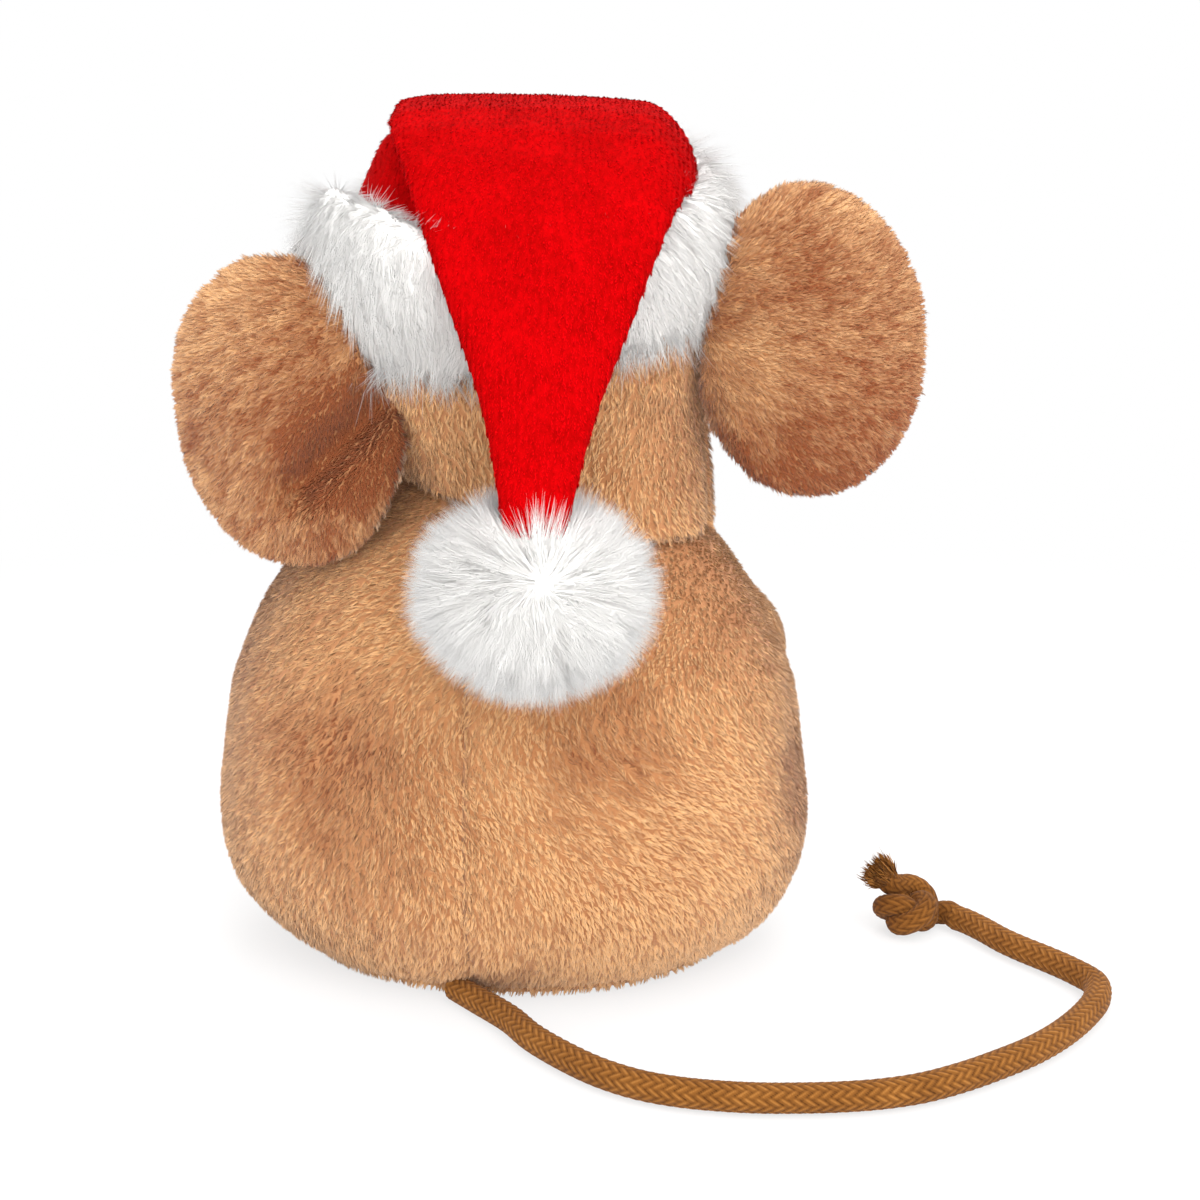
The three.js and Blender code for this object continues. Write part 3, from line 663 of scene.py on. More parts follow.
def grow(
    name, source, finish, body, slot, count, *, length, height, width, comb, tone, seed, soft=0.65, keep=None,
    tufts=None, sink=0.0003, outside=None, depth=0.22, gather=1.0, round_tuft=0.3, loose=0.2, rows_of=None,
    twist=0.35, vary=(0.85, 1.15),
):
    """A pile or fur on a piece: each strand is a narrow triangle with two sides, and leans the way it is combed.

    comb gives the way at a root, tone how light the strand is, keep where strands grow, and outside which
    points are clear of the neighbours. Strands stand in tufts: gather draws them to the head of their tuft,
    round_tuft does so along the comb too, loose turns whole tufts, and rows_of shifts their tips into rows.
    """
    root, normal, random = roots_on(source, count, seed, keep)
    tufts = tufts or count // 7
    flow = unit(across_surface(comb(root, normal), normal))
    heads = random.choice(count, tufts, replace=False)
    tree = KDTree(tufts)
    for i, spot in enumerate(root[heads]):
        tree.insert(spot, i)
    tree.balance()
    nearest = np.array([tree.find(spot)[1] for spot in root])
    head = heads[nearest]

    # A strand mostly follows its tuft's comb, and both stray from it
    flow = unit(flow * 0.3 + flow[head] * 0.7)
    cross = np.cross(normal, flow)
    ridge = streaks(root, flow, 0.0013, 0.0018, seed + 1)
    lock = random.uniform(-1, 1, tufts)[nearest]
    stray = random.normal(0, 0.1, (count, 1)) + random.normal(0, loose, tufts)[nearest][:, None]
    stray += 0.15 * wander(root, 0.0042, seed + 2)[:, None]
    flow = flow * np.cos(stray) + cross * np.sin(stray)

    # Its size, and how far its tip is drawn toward the tuft's head
    size = vary[0] + (vary[1] - vary[0]) * random.random((count, 1)) ** 1.7 + 0.14 * lock[:, None]
    rise = height * size * (1 + 0.15 * ridge[:, None])
    reach = length * size
    gap = across_surface(root[head] - root, normal)
    drawn = flow * (gap * flow).sum(axis=1, keepdims=True)
    lean = gather * (gap - drawn * (1 - round_tuft)) * random.uniform(0.7, 1.1, (count, 1))
    if rows_of is not None:
        lean = lean + rows_of(root)

    # Its foot is turned a little about its own length, and has a width of its own. The second share is drawn
    # for the tip, which has no width, so that the tones drawn later stay as they are
    angle = random.normal(0, twist, (count, 1))
    along = unit(normal * rise + flow * reach)
    side = unit(np.cross(normal, flow))
    across = side * np.cos(angle) + np.cross(along, side) * np.sin(angle)
    share, _ = random.uniform(0.75, 1.25, (2, count, 1))
    foot = root - normal * sink
    half = across * width / 2 * share
    points = np.stack([foot - half, foot + half, foot + normal * rise + flow * reach + lean], axis=1)
    facing = unit(np.cross(flow * reach + normal * rise + lean, across))
    if outside is not None:
        points = shorten(points, outside)

    # Front and back sides, lit mostly as the surface under them is
    half_wall = facing[:, None] * STRAND_HALF_WALL
    front = np.arange(count)[:, None] * 3
    both = np.concatenate([points + half_wall, points - half_wall]).reshape(-1, 3)
    piece = mesh_piece(name, both, [front + [1, 0, 2], front + count * 3 + [0, 1, 2]])
    lit = unit(normal * soft + facing * (1 - soft)), unit(normal * soft - facing * (1 - soft) * 0.7)

    # The strand's own tone runs across its map, and the way from root to tip up it
    value = tone(root, normal) + random.normal(0, 0.05, count) + depth * (0.8 * lock + 1.2 * ridge)
    corner = np.empty(len(piece.data.loops), np.int32)
    piece.data.loops.foreach_get("vertex_index", corner)
    strand, part = corner // 3 % count, corner % 3
    own_tone = np.clip(value, 0.02, 0.98)[strand] + np.array([-STRAND_HALF_TONE, STRAND_HALF_TONE, 0])[part]
    uv = np.stack([own_tone, np.array([0.02, 0.02, 0.98])[part]], axis=1)
    layer = piece.data.uv_layers.new(name=PILE_MAP)
    layer.uv.foreach_set("vector", uv.astype(np.float32).ravel())
    piece.data.normals_split_custom_set_from_vertices(np.repeat(np.concatenate(lit), 3, axis=0).astype(np.float32))
    give(piece, finish)
    piece.visible_shadow = False
    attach(piece, body)


def swirl(base, turn, size, seed):
    """A comb whose way turns about the surface in patches."""

    def way(root, normal):
        flow = unit(across_surface(base(root, normal), normal))
        angle = turn * wander(root, size, seed)[:, None]
        return flow * np.cos(angle) + np.cross(normal, flow) * np.sin(angle)

    return way


def downward(root, normal):
    """Down, and a little outward from the middle of the mouse."""
    return root * [0.15 / 0.07, 0.15 / 0.07, 0] + [0, 0, -1]


def above(height):
    """Pile grows only above a height: the floor presses the rest flat."""
    return lambda spot, facing: (spot[:, 2] > height).astype(float)


CLOTH_WALL = 0.0012


def dress(piece, node, backing, body, wall=0.0):
    """Backing cloth in place of its CAD node, with a wall where the piece is open."""
    if wall:
        apply_modifier(piece, "SOLIDIFY", thickness=wall, offset=-1)
    only(piece)
    bpy.ops.object.shade_smooth()
    give(piece, backing)
    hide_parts(node)
    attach(piece, body)


def add_panels(shell, prefix, panels, comb, tone, seed):
    """Parts a shell at its seams into panels, each given as its strand count and its planes."""
    for i, (name, (count, *planes)) in enumerate(panels.items()):
        node = f"{prefix}_{name}"
        panel = duplicate(shell, f"{node}_plush")
        cut_away(panel, *planes)
        grow(
            f"{node}_pile", panel, tan_pile, "mouse", "plush_tan", count, **PLUSH,
            comb=comb, tone=tone, seed=seed + i, keep=above(0.0012),
        )
        dress(panel, node, tan_skin, "mouse", wall=CLOTH_WALL)
    bpy.data.objects.remove(shell)


# Body: one swollen pear, parted at its seams into base, two back panels and belly
BODY = {"width": 0.143, "depth": 0.117, "height": 0.1215, "widest": 0.0325, "swell": 0.045, "belly": 0.02}
BODY_SKIN = 0.0016
BODY_LOW_POWER = 2 / 2.2
SEAM_HALF = 0.00004
BASE_EDGE = 0.0025
LEAST_HEIGHT = 0.0004


def body_place(cosine, sine, around_x, around_y, inset):
    low = sine < 0
    power = np.where(low, BODY_LOW_POWER, 1)
    out = np.maximum(cosine, 0) ** power
    reach = np.where(low, BODY["swell"] - inset, BODY["height"] - BODY["widest"] - inset)
    x = (BODY["width"] / 2 - inset) * out * around_x
    y = (BODY["depth"] / 2 - inset) * out * around_y
    z = BODY["widest"] + np.sign(sine) * np.abs(sine) ** power * reach
    return np.stack([x, y, z], axis=1)


def ball(name, segments, rings):
    """A sphere with its faces put in one order, because the primitive gives them in another each run."""
    only()
    bpy.ops.mesh.primitive_uv_sphere_add(segments=segments, ring_count=rings, radius=1)
    sphere = bpy.context.view_layer.objects.active
    faces = {3: [], 4: []}
    for face in sphere.data.polygons:
        corners = list(face.vertices)
        start = corners.index(min(corners))
        faces[len(corners)].append(corners[start:] + corners[:start])
    piece = mesh_piece(name, places(sphere), [np.array(sorted(faces[size])) for size in faces])
    bpy.data.objects.remove(sphere)
    return piece


def body_form(name, inset, segments=96, rings=64):
    piece = ball(name, segments, rings)
    spot = places(piece)
    cosine = np.hypot(spot[:, 0], spot[:, 1])
    turn = np.arctan2(spot[:, 1], spot[:, 0])
    points = body_place(cosine, spot[:, 2], np.cos(turn), np.sin(turn), inset)
    points[:, 2] = np.maximum(points[:, 2], LEAST_HEIGHT)
    set_places(piece, points)
    return piece


# Hollows of the back where the nap is pressed: place, radius and depth. Shade is also painted into the body's pile in
# them
DENTS = [
    ((0.028, -0.038, 0.058), 0.014, 0.0022),
    ((-0.026, -0.045, 0.05), 0.016, 0.002),
    ((0.062, -0.008, 0.045), 0.013, 0.002),
]


def shape_body(piece):
    points, normals = places(piece), outward(piece)
    pull = np.zeros(len(points))
    back = points[:, 1] < BODY["belly"] - 0.001
    pull += np.where(back, 0.0006 * on_seam(points[:, 0], 0.0016), 0)
    pull += 0.0014 * on_seam(points[:, 1] - BODY["belly"], 0.002)
    pull += np.where(points[:, 2] > 0.0008, 0.0012 * on_seam(points[:, 2] - BASE_EDGE, 0.0015), 0)
    for place, radius, depth in DENTS:
        pull += depth * near(points, place, radius)
    pull -= 0.0009 * wander(points, 0.024, 11) + 0.0004 * wander(points, 0.009, 12)
    above_floor = np.clip(points[:, 2] / 0.004, 0, 1)[:, None]
    moved = points - normals * pull[:, None] * above_floor
    moved[:, 2] = np.maximum(moved[:, 2], LEAST_HEIGHT)
    set_places(piece, moved)


def body_tone_and_painted_light(root, normal):
    """Painted shade in the hollows and on the left, and a painted shadow under the pompom; painted light on the
    right shoulder, and lighter near the floor.
    """
    tone = 0.75 + 0.2 * wander(root, 0.03, 21) + 0.12 * wander(root, 0.012, 22)
    # Painted shade in the hollows
    for place, radius, _ in DENTS:
        tone -= 0.45 * near(root, place, radius * 1.25)
    # Painted shadow under the pompom
    tone -= 0.04 * near(root, (0.011, -0.045, 0.085), 0.03)
    # Painted light on the right shoulder
    tone += 0.55 * near(root, (0.05, -0.03, 0.1), 0.035)
    # Painted shade on the left side; lighter near the floor
    left = np.clip(-root[:, 0] / 0.07, 0, 1)
    low = np.clip(1 - root[:, 2] / 0.05, 0, 1)
    return tone - 0.16 * left + 0.12 * low


def add_body():
    shell = body_form("body_shell", BODY_SKIN)
    points = places(shell)
    back = points[:, 1] < BODY["belly"]
    middle_seam = np.where(back, on_seam(points[:, 0], PIN_WIDTH), 0)
    pins = np.maximum(middle_seam, on_seam(points[:, 1] - BODY["belly"], PIN_WIDTH))
    pins = np.maximum(pins, points[:, 2] < 0.003)
    stuff(shell, 0.0028, pins)
    apply_modifier(shell, "SUBSURF", levels=1, render_levels=1)
    shape_body(shell)
    behind = (0, BODY["belly"], 0), (0, -1, 0)
    off_base = (0, 0, BASE_EDGE), (0, 0, 1)
    panels = {
        "back_left": (88000, ((-SEAM_HALF, 0, 0), (-1, 0, 0)), behind, off_base),
        "back_right": (88000, ((SEAM_HALF, 0, 0), (1, 0, 0)), behind, off_base),
        "belly": (42000, ((0, BODY["belly"] + SEAM_HALF, 0), (0, 1, 0)), off_base),
        "base": (3000, ((0, 0, BASE_EDGE - SEAM_HALF), (0, 0, -1))),
    }
    add_panels(shell, "body", panels, swirl(downward, 1.3, 0.045, 31), body_tone_and_painted_light, 100)


add_body()


# Head: a ball that runs forward into a muzzle, cut where it sits on the body
HEAD = {"width": 0.088, "height": 0.078, "back": 0.042, "front": 0.07, "drop": 0.009, "seam": -0.006}
HEAD_PLACE = (0.0048, -0.0013, 0.141)
HEAD_TURN = Matrix.Rotation(math.radians(9), 4, "Z") @ Matrix.Rotation(math.radians(-6), 4, "Y")
head_frame = Matrix.Translation(HEAD_PLACE) @ HEAD_TURN


def head_form(name, inset, segments=80, rings=56):
    piece = ball(name, segments, rings)
    spot = places(piece)
    cosine = np.hypot(spot[:, 0], spot[:, 1])
    turn = np.arctan2(spot[:, 1], spot[:, 0])
    front = spot[:, 2] > 0
    out = np.where(front, 0.68 * cosine**2 + 0.32 * np.sqrt(np.maximum(cosine, 0)), cosine)
    length = np.where(front, HEAD["front"], HEAD["back"]) - inset
    drop = np.where(front, HEAD["drop"] * spot[:, 2] ** 2, 0)
    shrink = np.clip(out / 0.15, 0, 1) * inset
    across = (HEAD["width"] / 2 * out - shrink) * np.cos(turn)
    rise = (HEAD["height"] / 2 * out - shrink) * np.sin(turn) - drop
    local = np.stack([across, length * spot[:, 2], rise], axis=1)
    set_places(piece, in_metres(head_frame, local))
    edit(piece, (bpy.ops.mesh.normals_make_consistent, {"inside": False}))
    return piece


def in_head(points):
    return in_metres(head_frame.inverted(), points)


def full_neck(points):
    """The cloth of the neck comes down nearly straight, most of all on the right."""
    local = in_head(points)
    around = np.hypot(local[:, 0], local[:, 1]) + 1e-9
    down = np.clip((np.degrees(np.arctan2(-local[:, 2], around)) - 16) / 29, 0, 1.2) ** 2
    share = (0.55 + 0.45 * local[:, 0] / around) * np.clip(1 - local[:, 1] / 0.03, 0, 1)
    return in_metres(head_frame, local * (1 + 0.36 * share * down)[:, None])


def head_comb(root, normal):
    """Down, and a little to the back and the sides."""
    local = in_head(root)
    down = local * [0.3 / 0.04, 0, 0] + [0, -0.2, -1]
    return down @ np.array(head_frame.to_3x3()).T


def head_tone(root, normal):
    return 0.9 + 0.16 * wander(root, 0.025, 41) + 0.1 * wander(root, 0.01, 42)


NECK_CLEARANCE = 0.0002


def open_neck(shell):
    """Cuts the head off where it meets the body, and leaves it open there: the cut's faces have the second finish."""
    neck = body_form("neck_cut", -NECK_CLEARANCE, 64, 48)
    give(shell, tan_skin)
    give(neck, pale_skin)
    apply_modifier(shell, "BOOLEAN", operation="DIFFERENCE", object=neck, solver="EXACT")
    bpy.data.objects.remove(neck)
    only(shell)
    bpy.ops.object.mode_set(mode="EDIT")
    bpy.ops.mesh.select_all(action="DESELECT")
    bpy.ops.object.mode_set(mode="OBJECT")
    faces = shell.data.polygons
    faces.foreach_set("select", [face.material_index > 0 for face in faces])
    bpy.ops.object.mode_set(mode="EDIT")
    bpy.ops.mesh.delete(type="FACE")
    bpy.ops.object.mode_set(mode="OBJECT")


def add_head():
    shell = head_form("head_shell", BODY_SKIN)
    local = in_head(places(shell))
    pins = on_seam(local[:, 1] - HEAD["seam"], PIN_WIDTH)
    pins = np.maximum(pins, np.where(local[:, 1] > HEAD["seam"], on_seam(local[:, 0], PIN_WIDTH), 0))
    stuff(shell, 0.002, pins)
    apply_modifier(shell, "SUBSURF", levels=1, render_levels=1)
    points, normals = places(shell), outward(shell)
    local = in_head(points)
    pull = 0.0012 * on_seam(local[:, 1] - HEAD["seam"], 0.0018)
    pull += np.where(local[:, 1] > HEAD["seam"], 0.0012 * on_seam(local[:, 0], 0.0018), 0)
    pull -= 0.0006 * wander(points, 0.02, 43)
    set_places(shell, full_neck(points - normals * pull[:, None]))
    open_neck(shell)
    turned = head_frame.to_3x3()

    def plane(point, direction):
        return (tuple(head_frame @ Vector(point)), tuple(turned @ Vector(direction)))

    ahead = plane((0, HEAD["seam"] + SEAM_HALF, 0), (0, 1, 0))
    panels = {
        "back": (44000, plane((0, HEAD["seam"], 0), (0, -1, 0))),
        "left": (26000, ahead, plane((-SEAM_HALF, 0, 0), (-1, 0, 0))),
        "right": (26000, ahead, plane((SEAM_HALF, 0, 0), (1, 0, 0))),
    }
    add_panels(shell, "head", panels, swirl(head_comb, 1.0, 0.03, 44), head_tone, 120)


add_head()


# Ears: a back and a paler lining each
def in_photo(points):
    """Where points appear in the photograph, in its pixels."""
    seen = in_metres(scene.camera.matrix_world.inverted(), points)
    return PHOTO_SIDE * (0.5 + np.stack([seen[:, 0], -seen[:, 1]], axis=1) / -seen[:, 2:] * LENS / SENSOR)


def from_line(points, start, end):
    """Distance in photograph pixels from a line between two of its pixels."""
    spot, start, end = in_photo(points), np.array(start, float), np.array(end, float)
    share = np.clip((spot - start) @ (end - start) / ((end - start) @ (end - start)), 0, 1)
    return np.linalg.norm(spot - start - share[:, None] * (end - start), axis=1)


# Creases run between two pixels, with a width in pixels and a depth, and shade is painted along them. Hollows have
# a pixel, a width and a darkness of painted shade; a darkness below 0 paints light
EAR_CREASES = {"left": ((392, 384), (296, 484), 22, 0.0055), "right": ((700, 400), (724, 470), 16, 0.0015)}
EAR_PAINTED_SHADE_SPOTS = {"left": ((352, 446), 60, 0.8), "right": ((735, 385), 60, -0.4)}
EAR_PARTINGS = {"left": (-0.016, -0.037, 0.15), "right": (0.036, -0.02, 0.15)}
EAR_ROOTS = {"left": (-0.022, -0.037, 0.126), "right": (0.042, -0.02, 0.132)}
EAR_BASE_TONES = {"left": 0.24, "right": 0.02}
EAR_LAYERS = (
    ("back", "plush_tan", tan_skin, tan_pile, 48000),
    ("lining", "plush_pale", pale_skin, pale_pile, 18000),
)


def from_crease(points, side, widen=1.0):
    """1 on an ear's crease, fading to 0 on both sides."""
    start, end, width, _ = EAR_CREASES[side]
    return np.exp(-((from_line(points, start, end) / width / widen) ** 2))


def ear_comb(side):
    """Away from the ear's parting."""
    return lambda root, normal: unit(root - EAR_PARTINGS[side])


def ear_tone_and_painted_light(side, layer, seed):
    """Painted shade toward where the ear is sewn on, so it is lighter toward the rim, and in the crease and the left
    ear's hollow; painted light higher up and in the right ear's hollow. The paler lining takes less of the painted
    shade.
    """

    def tone(root, normal):
        sewn = EAR_ROOTS[side]
        out = np.clip(np.linalg.norm(root - sewn, axis=1) / 0.062, 0, 1)
        high = np.clip((root[:, 2] - sewn[2]) / 0.04, -1, 1)
        spot, wide, dark = EAR_PAINTED_SHADE_SPOTS[side]
        # Painted shade along the crease and at the hollow, where a darkness below 0 paints light
        crease = 30 * EAR_CREASES[side][3] * from_crease(root, side, 1.5)
        crease += dark * np.exp(-((np.linalg.norm(in_photo(root) - spot, axis=1) / wide) ** 4))
        pale = 0.5 if layer == "lining" else 0.0
        # Painted shade near where the ear is sewn on, and painted light higher up the ear
        light = EAR_BASE_TONES[side] + pale + 0.3 * out**1.5 + 0.12 * high
        return light - crease * (1 - pale) + 0.2 * wander(root, 0.018, seed)

    return tone


def seen_from(way):
    """Pile grows only where the surface faces a way, or nearly so."""
    return lambda spot, facing: np.where((facing * way).sum(axis=1) > -0.15, 1.0, 0.0)


def add_ears():
    for i, side in enumerate(("left", "right")):
        for j, (layer, slot, backing, strands, count) in enumerate(EAR_LAYERS):
            node = f"ear_{side}_{layer}"
            pad = softened(node, "plush", voxel=0.0013, rounds=6)
            points, normals = places(pad), outward(pad)
            fold = near(points, EAR_ROOTS[side], 0.016) * (0.0035 - 0.002 * i)
            crease = EAR_CREASES[side][3] * from_crease(points, side)
            shift = normals * (0.0006 * wander(points, 0.014, 53 + i))[:, None]
            set_places(pad, points + shift + (fold + crease)[:, None] * [0, 1, 0])
            grow(
                f"{node}_pile", pad, strands, f"ear_{side}", slot, count, **PLUSH,
                comb=swirl(ear_comb(side), 0.45, 0.02, 55 + i), tone=ear_tone_and_painted_light(side, layer, 51 + i),
                seed=140 + 2 * i + j, keep=seen_from([0, -1 if layer == "back" else 1, 0]),
            )
            dress(pad, node, backing, f"ear_{side}")


add_ears()


# Arms, feet and nose
LIMBS = {"arm_left": 10000, "arm_right": 10000, "foot_left": 11000, "foot_right": 11000}


def add_limbs():
    for i, (name, count) in enumerate(LIMBS.items()):
        limb = softened(name, "plush", voxel=0.002, rounds=6)
        stuff(limb, 0.001)
        points = places(limb)
        points[:, 2] = np.maximum(points[:, 2], 0.0006)
        set_places(limb, points)
        grow(
            f"{name}_pile", limb, tan_pile, name, "plush_tan", count, **PLUSH,
            comb=swirl(downward, 0.8, 0.02, 60 + i), tone=head_tone, seed=160 + i, keep=above(0.002),
        )
        dress(limb, name, tan_skin, name)
    nose = softened("nose", "plush", voxel=0.0009, rounds=4)
    grow(
        "nose_pile", nose, nose_pile, "mouse", "nose_brown", 6000,
        length=0.0009, height=0.0006, width=0.00028,
        comb=downward, tone=head_tone, seed=170,
    )
    dress(nose, "nose", nose_skin, "mouse")


add_limbs()


# Hat: red pile knit for crown and flap, long white fur for band and pompom
FOLD_PLACE = (0.0115, -0.008, 0.05)
TIP = (0, -0.054, -0.0723)
POMPOM_PLACE = (0, -0.003, -0.0214)
POMPOM_CORE = (0.0168, 0.0166, 0.0139)
POMPOM_PARTING = (0.001, -0.018, -0.0115)
WALE = 0.0012
fold_frame = head_frame @ Matrix.Translation(FOLD_PLACE) @ Matrix.Rotation(math.radians(8), 4, "Y")
tip_frame = fold_frame @ Matrix.Translation(TIP)
band_frame = head_frame @ Matrix.Translation((0, 0, 0.02)) @ Matrix.Rotation(math.radians(24), 4, "X")


def in_fold(points):
    return in_metres(fold_frame.inverted(), points)


def wales(root, normal):
    """The knit's rows run down the flap, and the pile leans along them."""
    return np.tile([0.0, -0.25, -1.0], (len(root), 1))


def from_wale(root):
    """How far across the flap a point is from the middle of its row, from -0.5 to 0.5 rows."""
    across = (in_fold(root)[:, 0] + 0.0005 * wander(root, 0.007, 71)) / WALE
    return across - np.round(across)


def to_wale(root):
    """The pile gathers toward the middle of its row."""
    side = np.array(fold_frame.to_3x3())[:, 0]
    return -0.6 * WALE * from_wale(root)[:, None] * side


def wale_tone_and_groove_shade(root, normal):
    # Painted shade in the grooves between the knit's rows, darker toward the edge of each row
    return 0.88 - 0.9 * np.abs(from_wale(root)) + 0.1 * wander(root, 0.014, 72)


def fluff(root, normal):
    """The fur parts at the point below the flap's tip and at the one behind it, and meets half-way."""
    parting, middle = (np.array(tip_frame @ Vector(spot)) for spot in (POMPOM_PARTING, POMPOM_PLACE))
    way = parting - middle
    return np.where((root - middle) @ way > 0, -1.0, 1.0)[:, None] * way


def fur_band_comb(root, normal):
    centre = np.array(head_frame @ Vector((0, 0, 0.02)))
    away = root - centre
    away[:, 2] = 0
    return 0.6 * unit(away) + np.array([0, 0, -1.0])


def beside_flap(spot, normal):
    """The pompom's fur is pressed aside where the tip of the flap lies on it."""
    local = in_metres(tip_frame.inverted(), spot)
    under = (np.abs(local[:, 0]) < 0.006) & (local[:, 1] < 0.002) & (local[:, 2] > -0.0115)
    return np.where(under, 0.0, 1.0)


def settle(piece):
    """The cloth slumps at the right end of the fold, so that corner is round, and its tip lies over the pompom."""
    points = places(piece)
    local = in_fold(points)
    left = np.clip(-local[:, 0] / 0.03, 0, 1) * np.clip((local[:, 2] + 0.05) / 0.045, 0, 1)
    local[:, 0] -= 0.0032 * left
    end = np.clip((TIP[2] + 0.02 - local[:, 2]) / 0.02, 0, 1.1) ** 2
    local += end[:, None] * [0, -0.009, -0.0095]
    past = np.clip((local[:, 0] - 0.019) / 0.013, 0, 1.2) ** 2
    fade = np.clip((local[:, 2] + 0.034) / 0.026, 0, 1)
    local[:, 2] -= 0.0105 * past * fade
    set_places(piece, in_metres(fold_frame, local))


def raise_band(band):
    """The back and the left of the band stand higher, and its far left sinks away."""
    local = in_metres(band_frame.inverted(), places(band))
    high = np.maximum(local[:, 2], 0)
    back = np.clip((0.018 - local[:, 1]) / 0.036, 0, 1)
    left = np.clip(-local[:, 0] / 0.025, 0, 1)
    local[:, 2] += high * (0.42 * back + left * (0.6 * back**2 - 0.45 * (1 - back)))
    end = np.clip((-local[:, 0] - 0.034) / 0.014, 0, 1.2)
    local[:, 2] -= np.maximum(local[:, 2], 0) * 0.45 * end**1.5
    local[:, :2] *= (1 + 0.03 * back * np.clip(local[:, 2] / 0.012, 0, 1))[:, None]
    set_places(band, in_metres(band_frame, local))


def add_fur(node, source, body, clear_of, comb, seed, tone_seed, **settings):
    """Long white fur of the band and the pompom."""
    grow(
        f"{node}_fur", source, white_pile, body, "fur_white", 84000, **settings,
        comb=comb, tone=lambda root, normal: 0.6 + 0.25 * wander(root, 0.008, tone_seed),
        seed=seed, twist=0.4, outside=away_from(*clear_of), sink=0.0006, depth=0.08,
    )
    dress(source, node, white_skin, body)


def add_hat():
    crown = softened("hat_crown", "knit")
    flap = softened("hat_flap", "knit", voxel=0.0014, rounds=6)
    settle(crown)
    settle(flap)
    for piece, node, body, count, seed in (
        (crown, "hat_crown", "mouse", 28000, 180),
        (flap, "hat_flap", "flap", 80000, 181),
    ):
        grow(
            f"{node}_pile", piece, red_pile, body, "knit_red", count,
            length=0.0012, height=0.00045, width=0.00034, depth=0.1, gather=0.3, rows_of=to_wale,
            comb=swirl(wales, 0.12, 0.02, 73), tone=wale_tone_and_groove_shade, seed=seed,
        )
        dress(piece, node, red_knit, body)
    band = softened("hat_band", "cloth", voxel=0.0018, rounds=10)
    raise_band(band)
    add_fur(
        "hat_band", band, "mouse", [flap], swirl(fur_band_comb, 0.6, 0.016, 74), 183, 75,
        length=0.006, height=0.0027, width=0.00013, gather=0.22, round_tuft=0.8,
        vary=(0.7, 1.7), loose=0.25, soft=0.96, tufts=5200,
    )
    neck = body_form("pompom_rest", -0.001, 64, 48)
    pompom = ball("hat_pompom_core", 48, 32)
    points = places(pompom) * (1 + 0.05 * wander(places(pompom), 0.6, 78))[:, None]
    set_places(pompom, np.array(tip_frame @ Vector(POMPOM_PLACE)) + points * POMPOM_CORE)
    add_fur(
        "hat_pompom", pompom, "pompom", [flap, neck], swirl(fluff, 0.7, 0.008, 76), 184, 77,
        length=0.0046, height=0.0038, width=0.00012, gather=0.5, round_tuft=1,
        vary=(0.8, 2.3), loose=0.4, soft=0.97, tufts=1800, keep=beside_flap,
    )
    bpy.data.objects.remove(neck)


add_hat()


# Frayed end of the tail cord
def add_fray(knot_route):
    end, before = knot_route[-1], knot_route[-12]
    way = (end - before) / np.linalg.norm(end - before)
    random = np.random.default_rng(7)
    count, rows = 1100, 4
    side = np.cross(way, (0, 0, 1))
    side /= np.linalg.norm(side)
    up = np.cross(side, way)
    angle = random.uniform(0, math.tau, count)
    radius = KNOT_DIAMETER / 2 * np.sqrt(random.random(count))
    offset = (np.cos(angle) * radius)[:, None] * side + (np.sin(angle) * radius)[:, None] * up
    root = end - way * 0.0015 + offset
    reach = way * random.uniform(0.003, 0.0068, (count, 1))
    reach += offset * random.uniform(0.1, 0.8, (count, 1)) + random.normal(0, 0.0006, (count, 3))
    across = unit(np.cross(reach, random.normal(0, 1, (count, 3))))
    points = []
    for row in range(rows + 1):
        t = row / rows
        sag = np.array([0, 0, -0.0012]) * t**2 * random.uniform(0, 1, (count, 1))
        place = root + reach * t + sag
        half = across * 0.00022 * (1 - 0.5 * t)
        points += [place] if row == rows else [place - half, place + half]
    per = len(points)
    points = np.stack(points, axis=1).reshape(-1, 3)
    points[:, 2] = np.maximum(points[:, 2], LEAST_HEIGHT)
    index = np.arange(count)[:, None] * per
    quads = np.concatenate([index + [2 * row, 2 * row + 1, 2 * row + 3, 2 * row + 2] for row in range(rows - 1)])
    piece = mesh_piece("tail_fray", points, [quads, index + [per - 3, per - 2, per - 1]])
    tones = np.repeat(random.uniform(0.35, 1, count), per).astype(np.float32)
    piece.data.attributes.new("yarn", "FLOAT", "POINT").data.foreach_set("value", tones)
    give(piece, braid)
    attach(piece, "mouse")


add_fray(knot_route)


# Filling, a little smaller than the skins, so that their hollows keep clear of it
FILLING_INSET = 0.0022


def add_filling():
    fibre = mottled_finish(
        "fibre_filling", (0.003, 6, 0.7), (0.7, 0.69, 0.66), (0.92, 0.91, 0.89), bump=(0.8, 0.002),
        Roughness=0.95, Sheen_Weight=0.4, Specular_IOR_Level=0.1,
    )
    for node in ("body_stuffing", "head_stuffing"):
        filling = softened(node, "fibre", voxel=0.003, rounds=3)
        points, normals = places(filling), outward(filling)
        set_places(filling, points - normals * FILLING_INSET)
        dress(filling, node, fibre, "mouse")


add_filling()


# CAD nodes that stay as they are: eyes and squeaker
gloss = mottled_finish(
    "eye_gloss", (0.004, 4), (0.006, 0.004, 0.003), (0.022, 0.014, 0.01), rough=(0.1, 0.04),
    Roughness=0.12, Coat_Weight=0.15, Coat_Roughness=0.04, Specular_IOR_Level=0.35,
)
plastic = mottled_finish(
    "squeaker_plastic", (0.0015, 3), (0.74, 0.77, 0.8), (0.82, 0.84, 0.86), bump=(0.15, 0.0002), rough=(0.2, 0.3),
    Roughness=0.4,
)
for node, finish in (("eye_left", gloss), ("eye_right", gloss), ("squeaker_bulb", plastic), ("squeaker_reed", plastic)):
    give(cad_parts[node], finish)


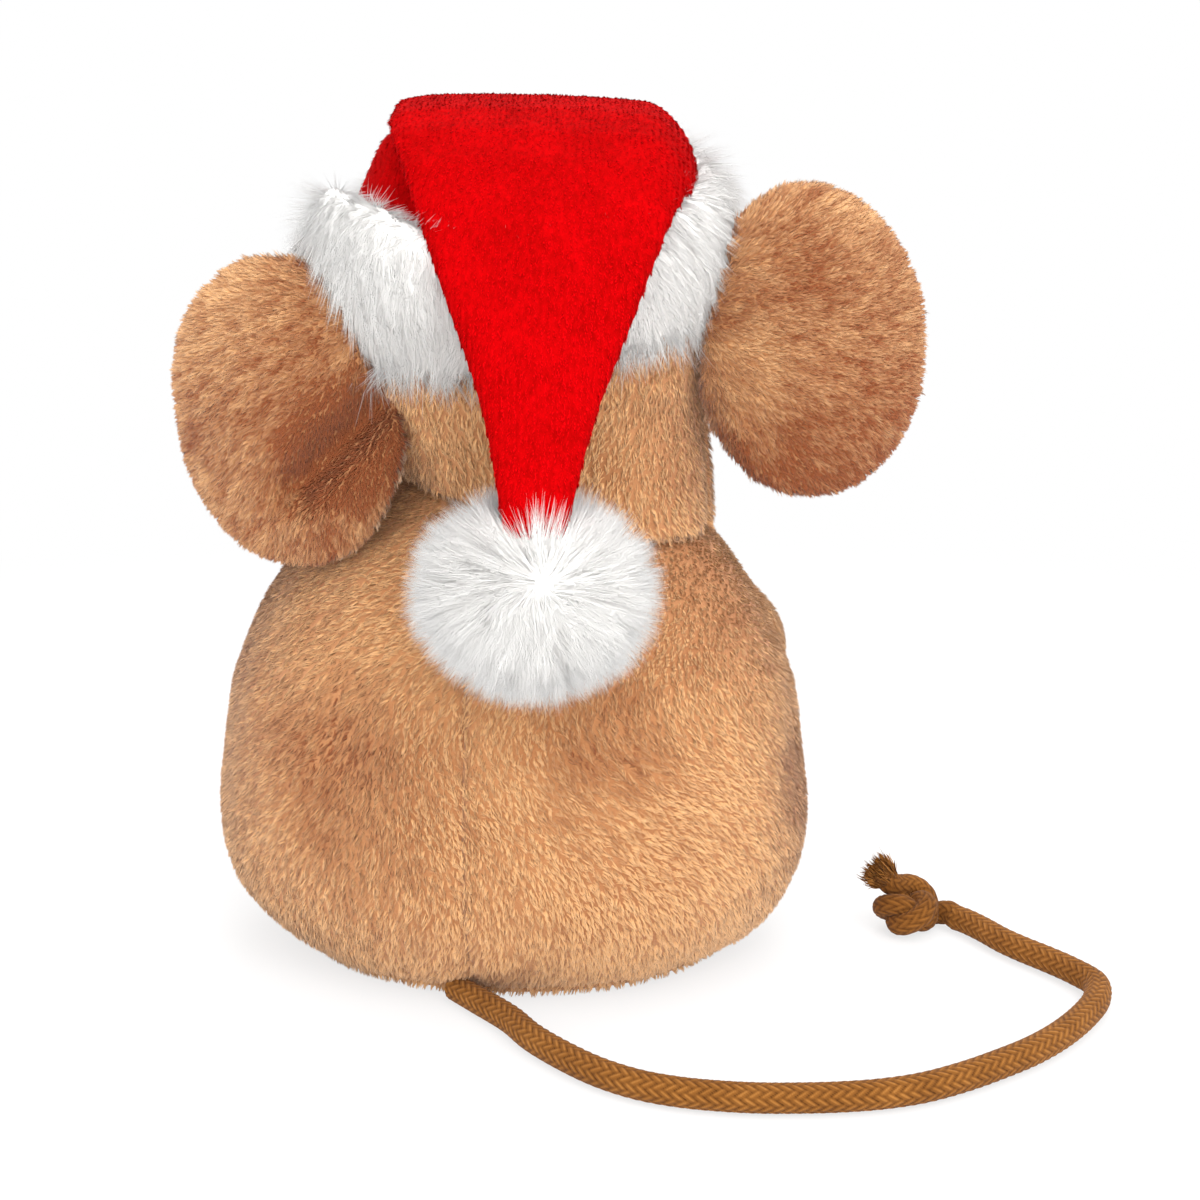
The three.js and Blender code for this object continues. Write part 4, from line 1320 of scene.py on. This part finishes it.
# Studio: a pale floor that fades to white away from the mouse, so that the shadow is kept
WHITE = rgba(1, 1, 1)
LAMPS = [
    ("key_lamp", (0.75, -1.05, 0.95), 1.2, 12.5),
    ("top_lamp", (0.3, -0.4, 1.3), 0.9, 5.0),
    ("fill_lamp", (-0.35, -1.3, 0.7), 1.2, 6.0),
    ("back_lamp", (-0.1, 1.1, 1.2), 0.9, 7.0),
]


def add_floor():
    only()
    bpy.ops.mesh.primitive_plane_add(size=6, location=(0, 0, -0.0003))
    floor = bpy.context.view_layer.objects.active
    floor.name = "floor"
    finish = Finish("studio_floor", Roughness=0.9, Specular_IOR_Level=0.1, Base_Color=rgba(0.86, 0.86, 0.86))
    far = finish.node("ShaderNodeVectorMath", {"operation": "LENGTH"}, {0: finish.coordinates()}, output=1)
    fade = {0: far, 1: 0.12, 2: 0.5, 3: 0.72, 4: 1.0}
    white = finish.node("ShaderNodeMapRange", {"interpolation_type": "SMOOTHSTEP"}, fade)
    glow = finish.node("ShaderNodeEmission", None, {"Color": WHITE, "Strength": 1.0})
    shader = Wire(finish, finish.shader.outputs[0])
    finish.choose(finish.rays("Camera", "Glossy", "Transmission") * white, shader, glow, "Material Output")
    give(floor, finish.material)


def add_world():
    world = bpy.data.worlds.new("studio")
    scene.world = world
    world.use_nodes = True
    sky = Nodes(world.node_tree)
    light = sky.tree.nodes["Background"]
    light.inputs["Color"].default_value = WHITE
    light.inputs["Strength"].default_value = 1.12
    seen = sky.node("ShaderNodeBackground", None, {"Color": WHITE, "Strength": 1.0})
    sky.choose(sky.rays("Camera", "Transmission"), Wire(sky, light.outputs[0]), seen, "World Output")


def add_lamps():
    for name, place, size, power in LAMPS:
        data = bpy.data.lights.new(name, "AREA")
        data.size = size
        data.energy = power
        lamp = bpy.data.objects.new(name, data)
        lamp.matrix_world = aimed(place, Vector((0, 0, 0.09)) - Vector(place))
        scene.collection.objects.link(lamp)


def add_studio():
    add_floor()
    add_world()
    add_lamps()
    scene.view_settings.view_transform = "Standard"


add_studio()
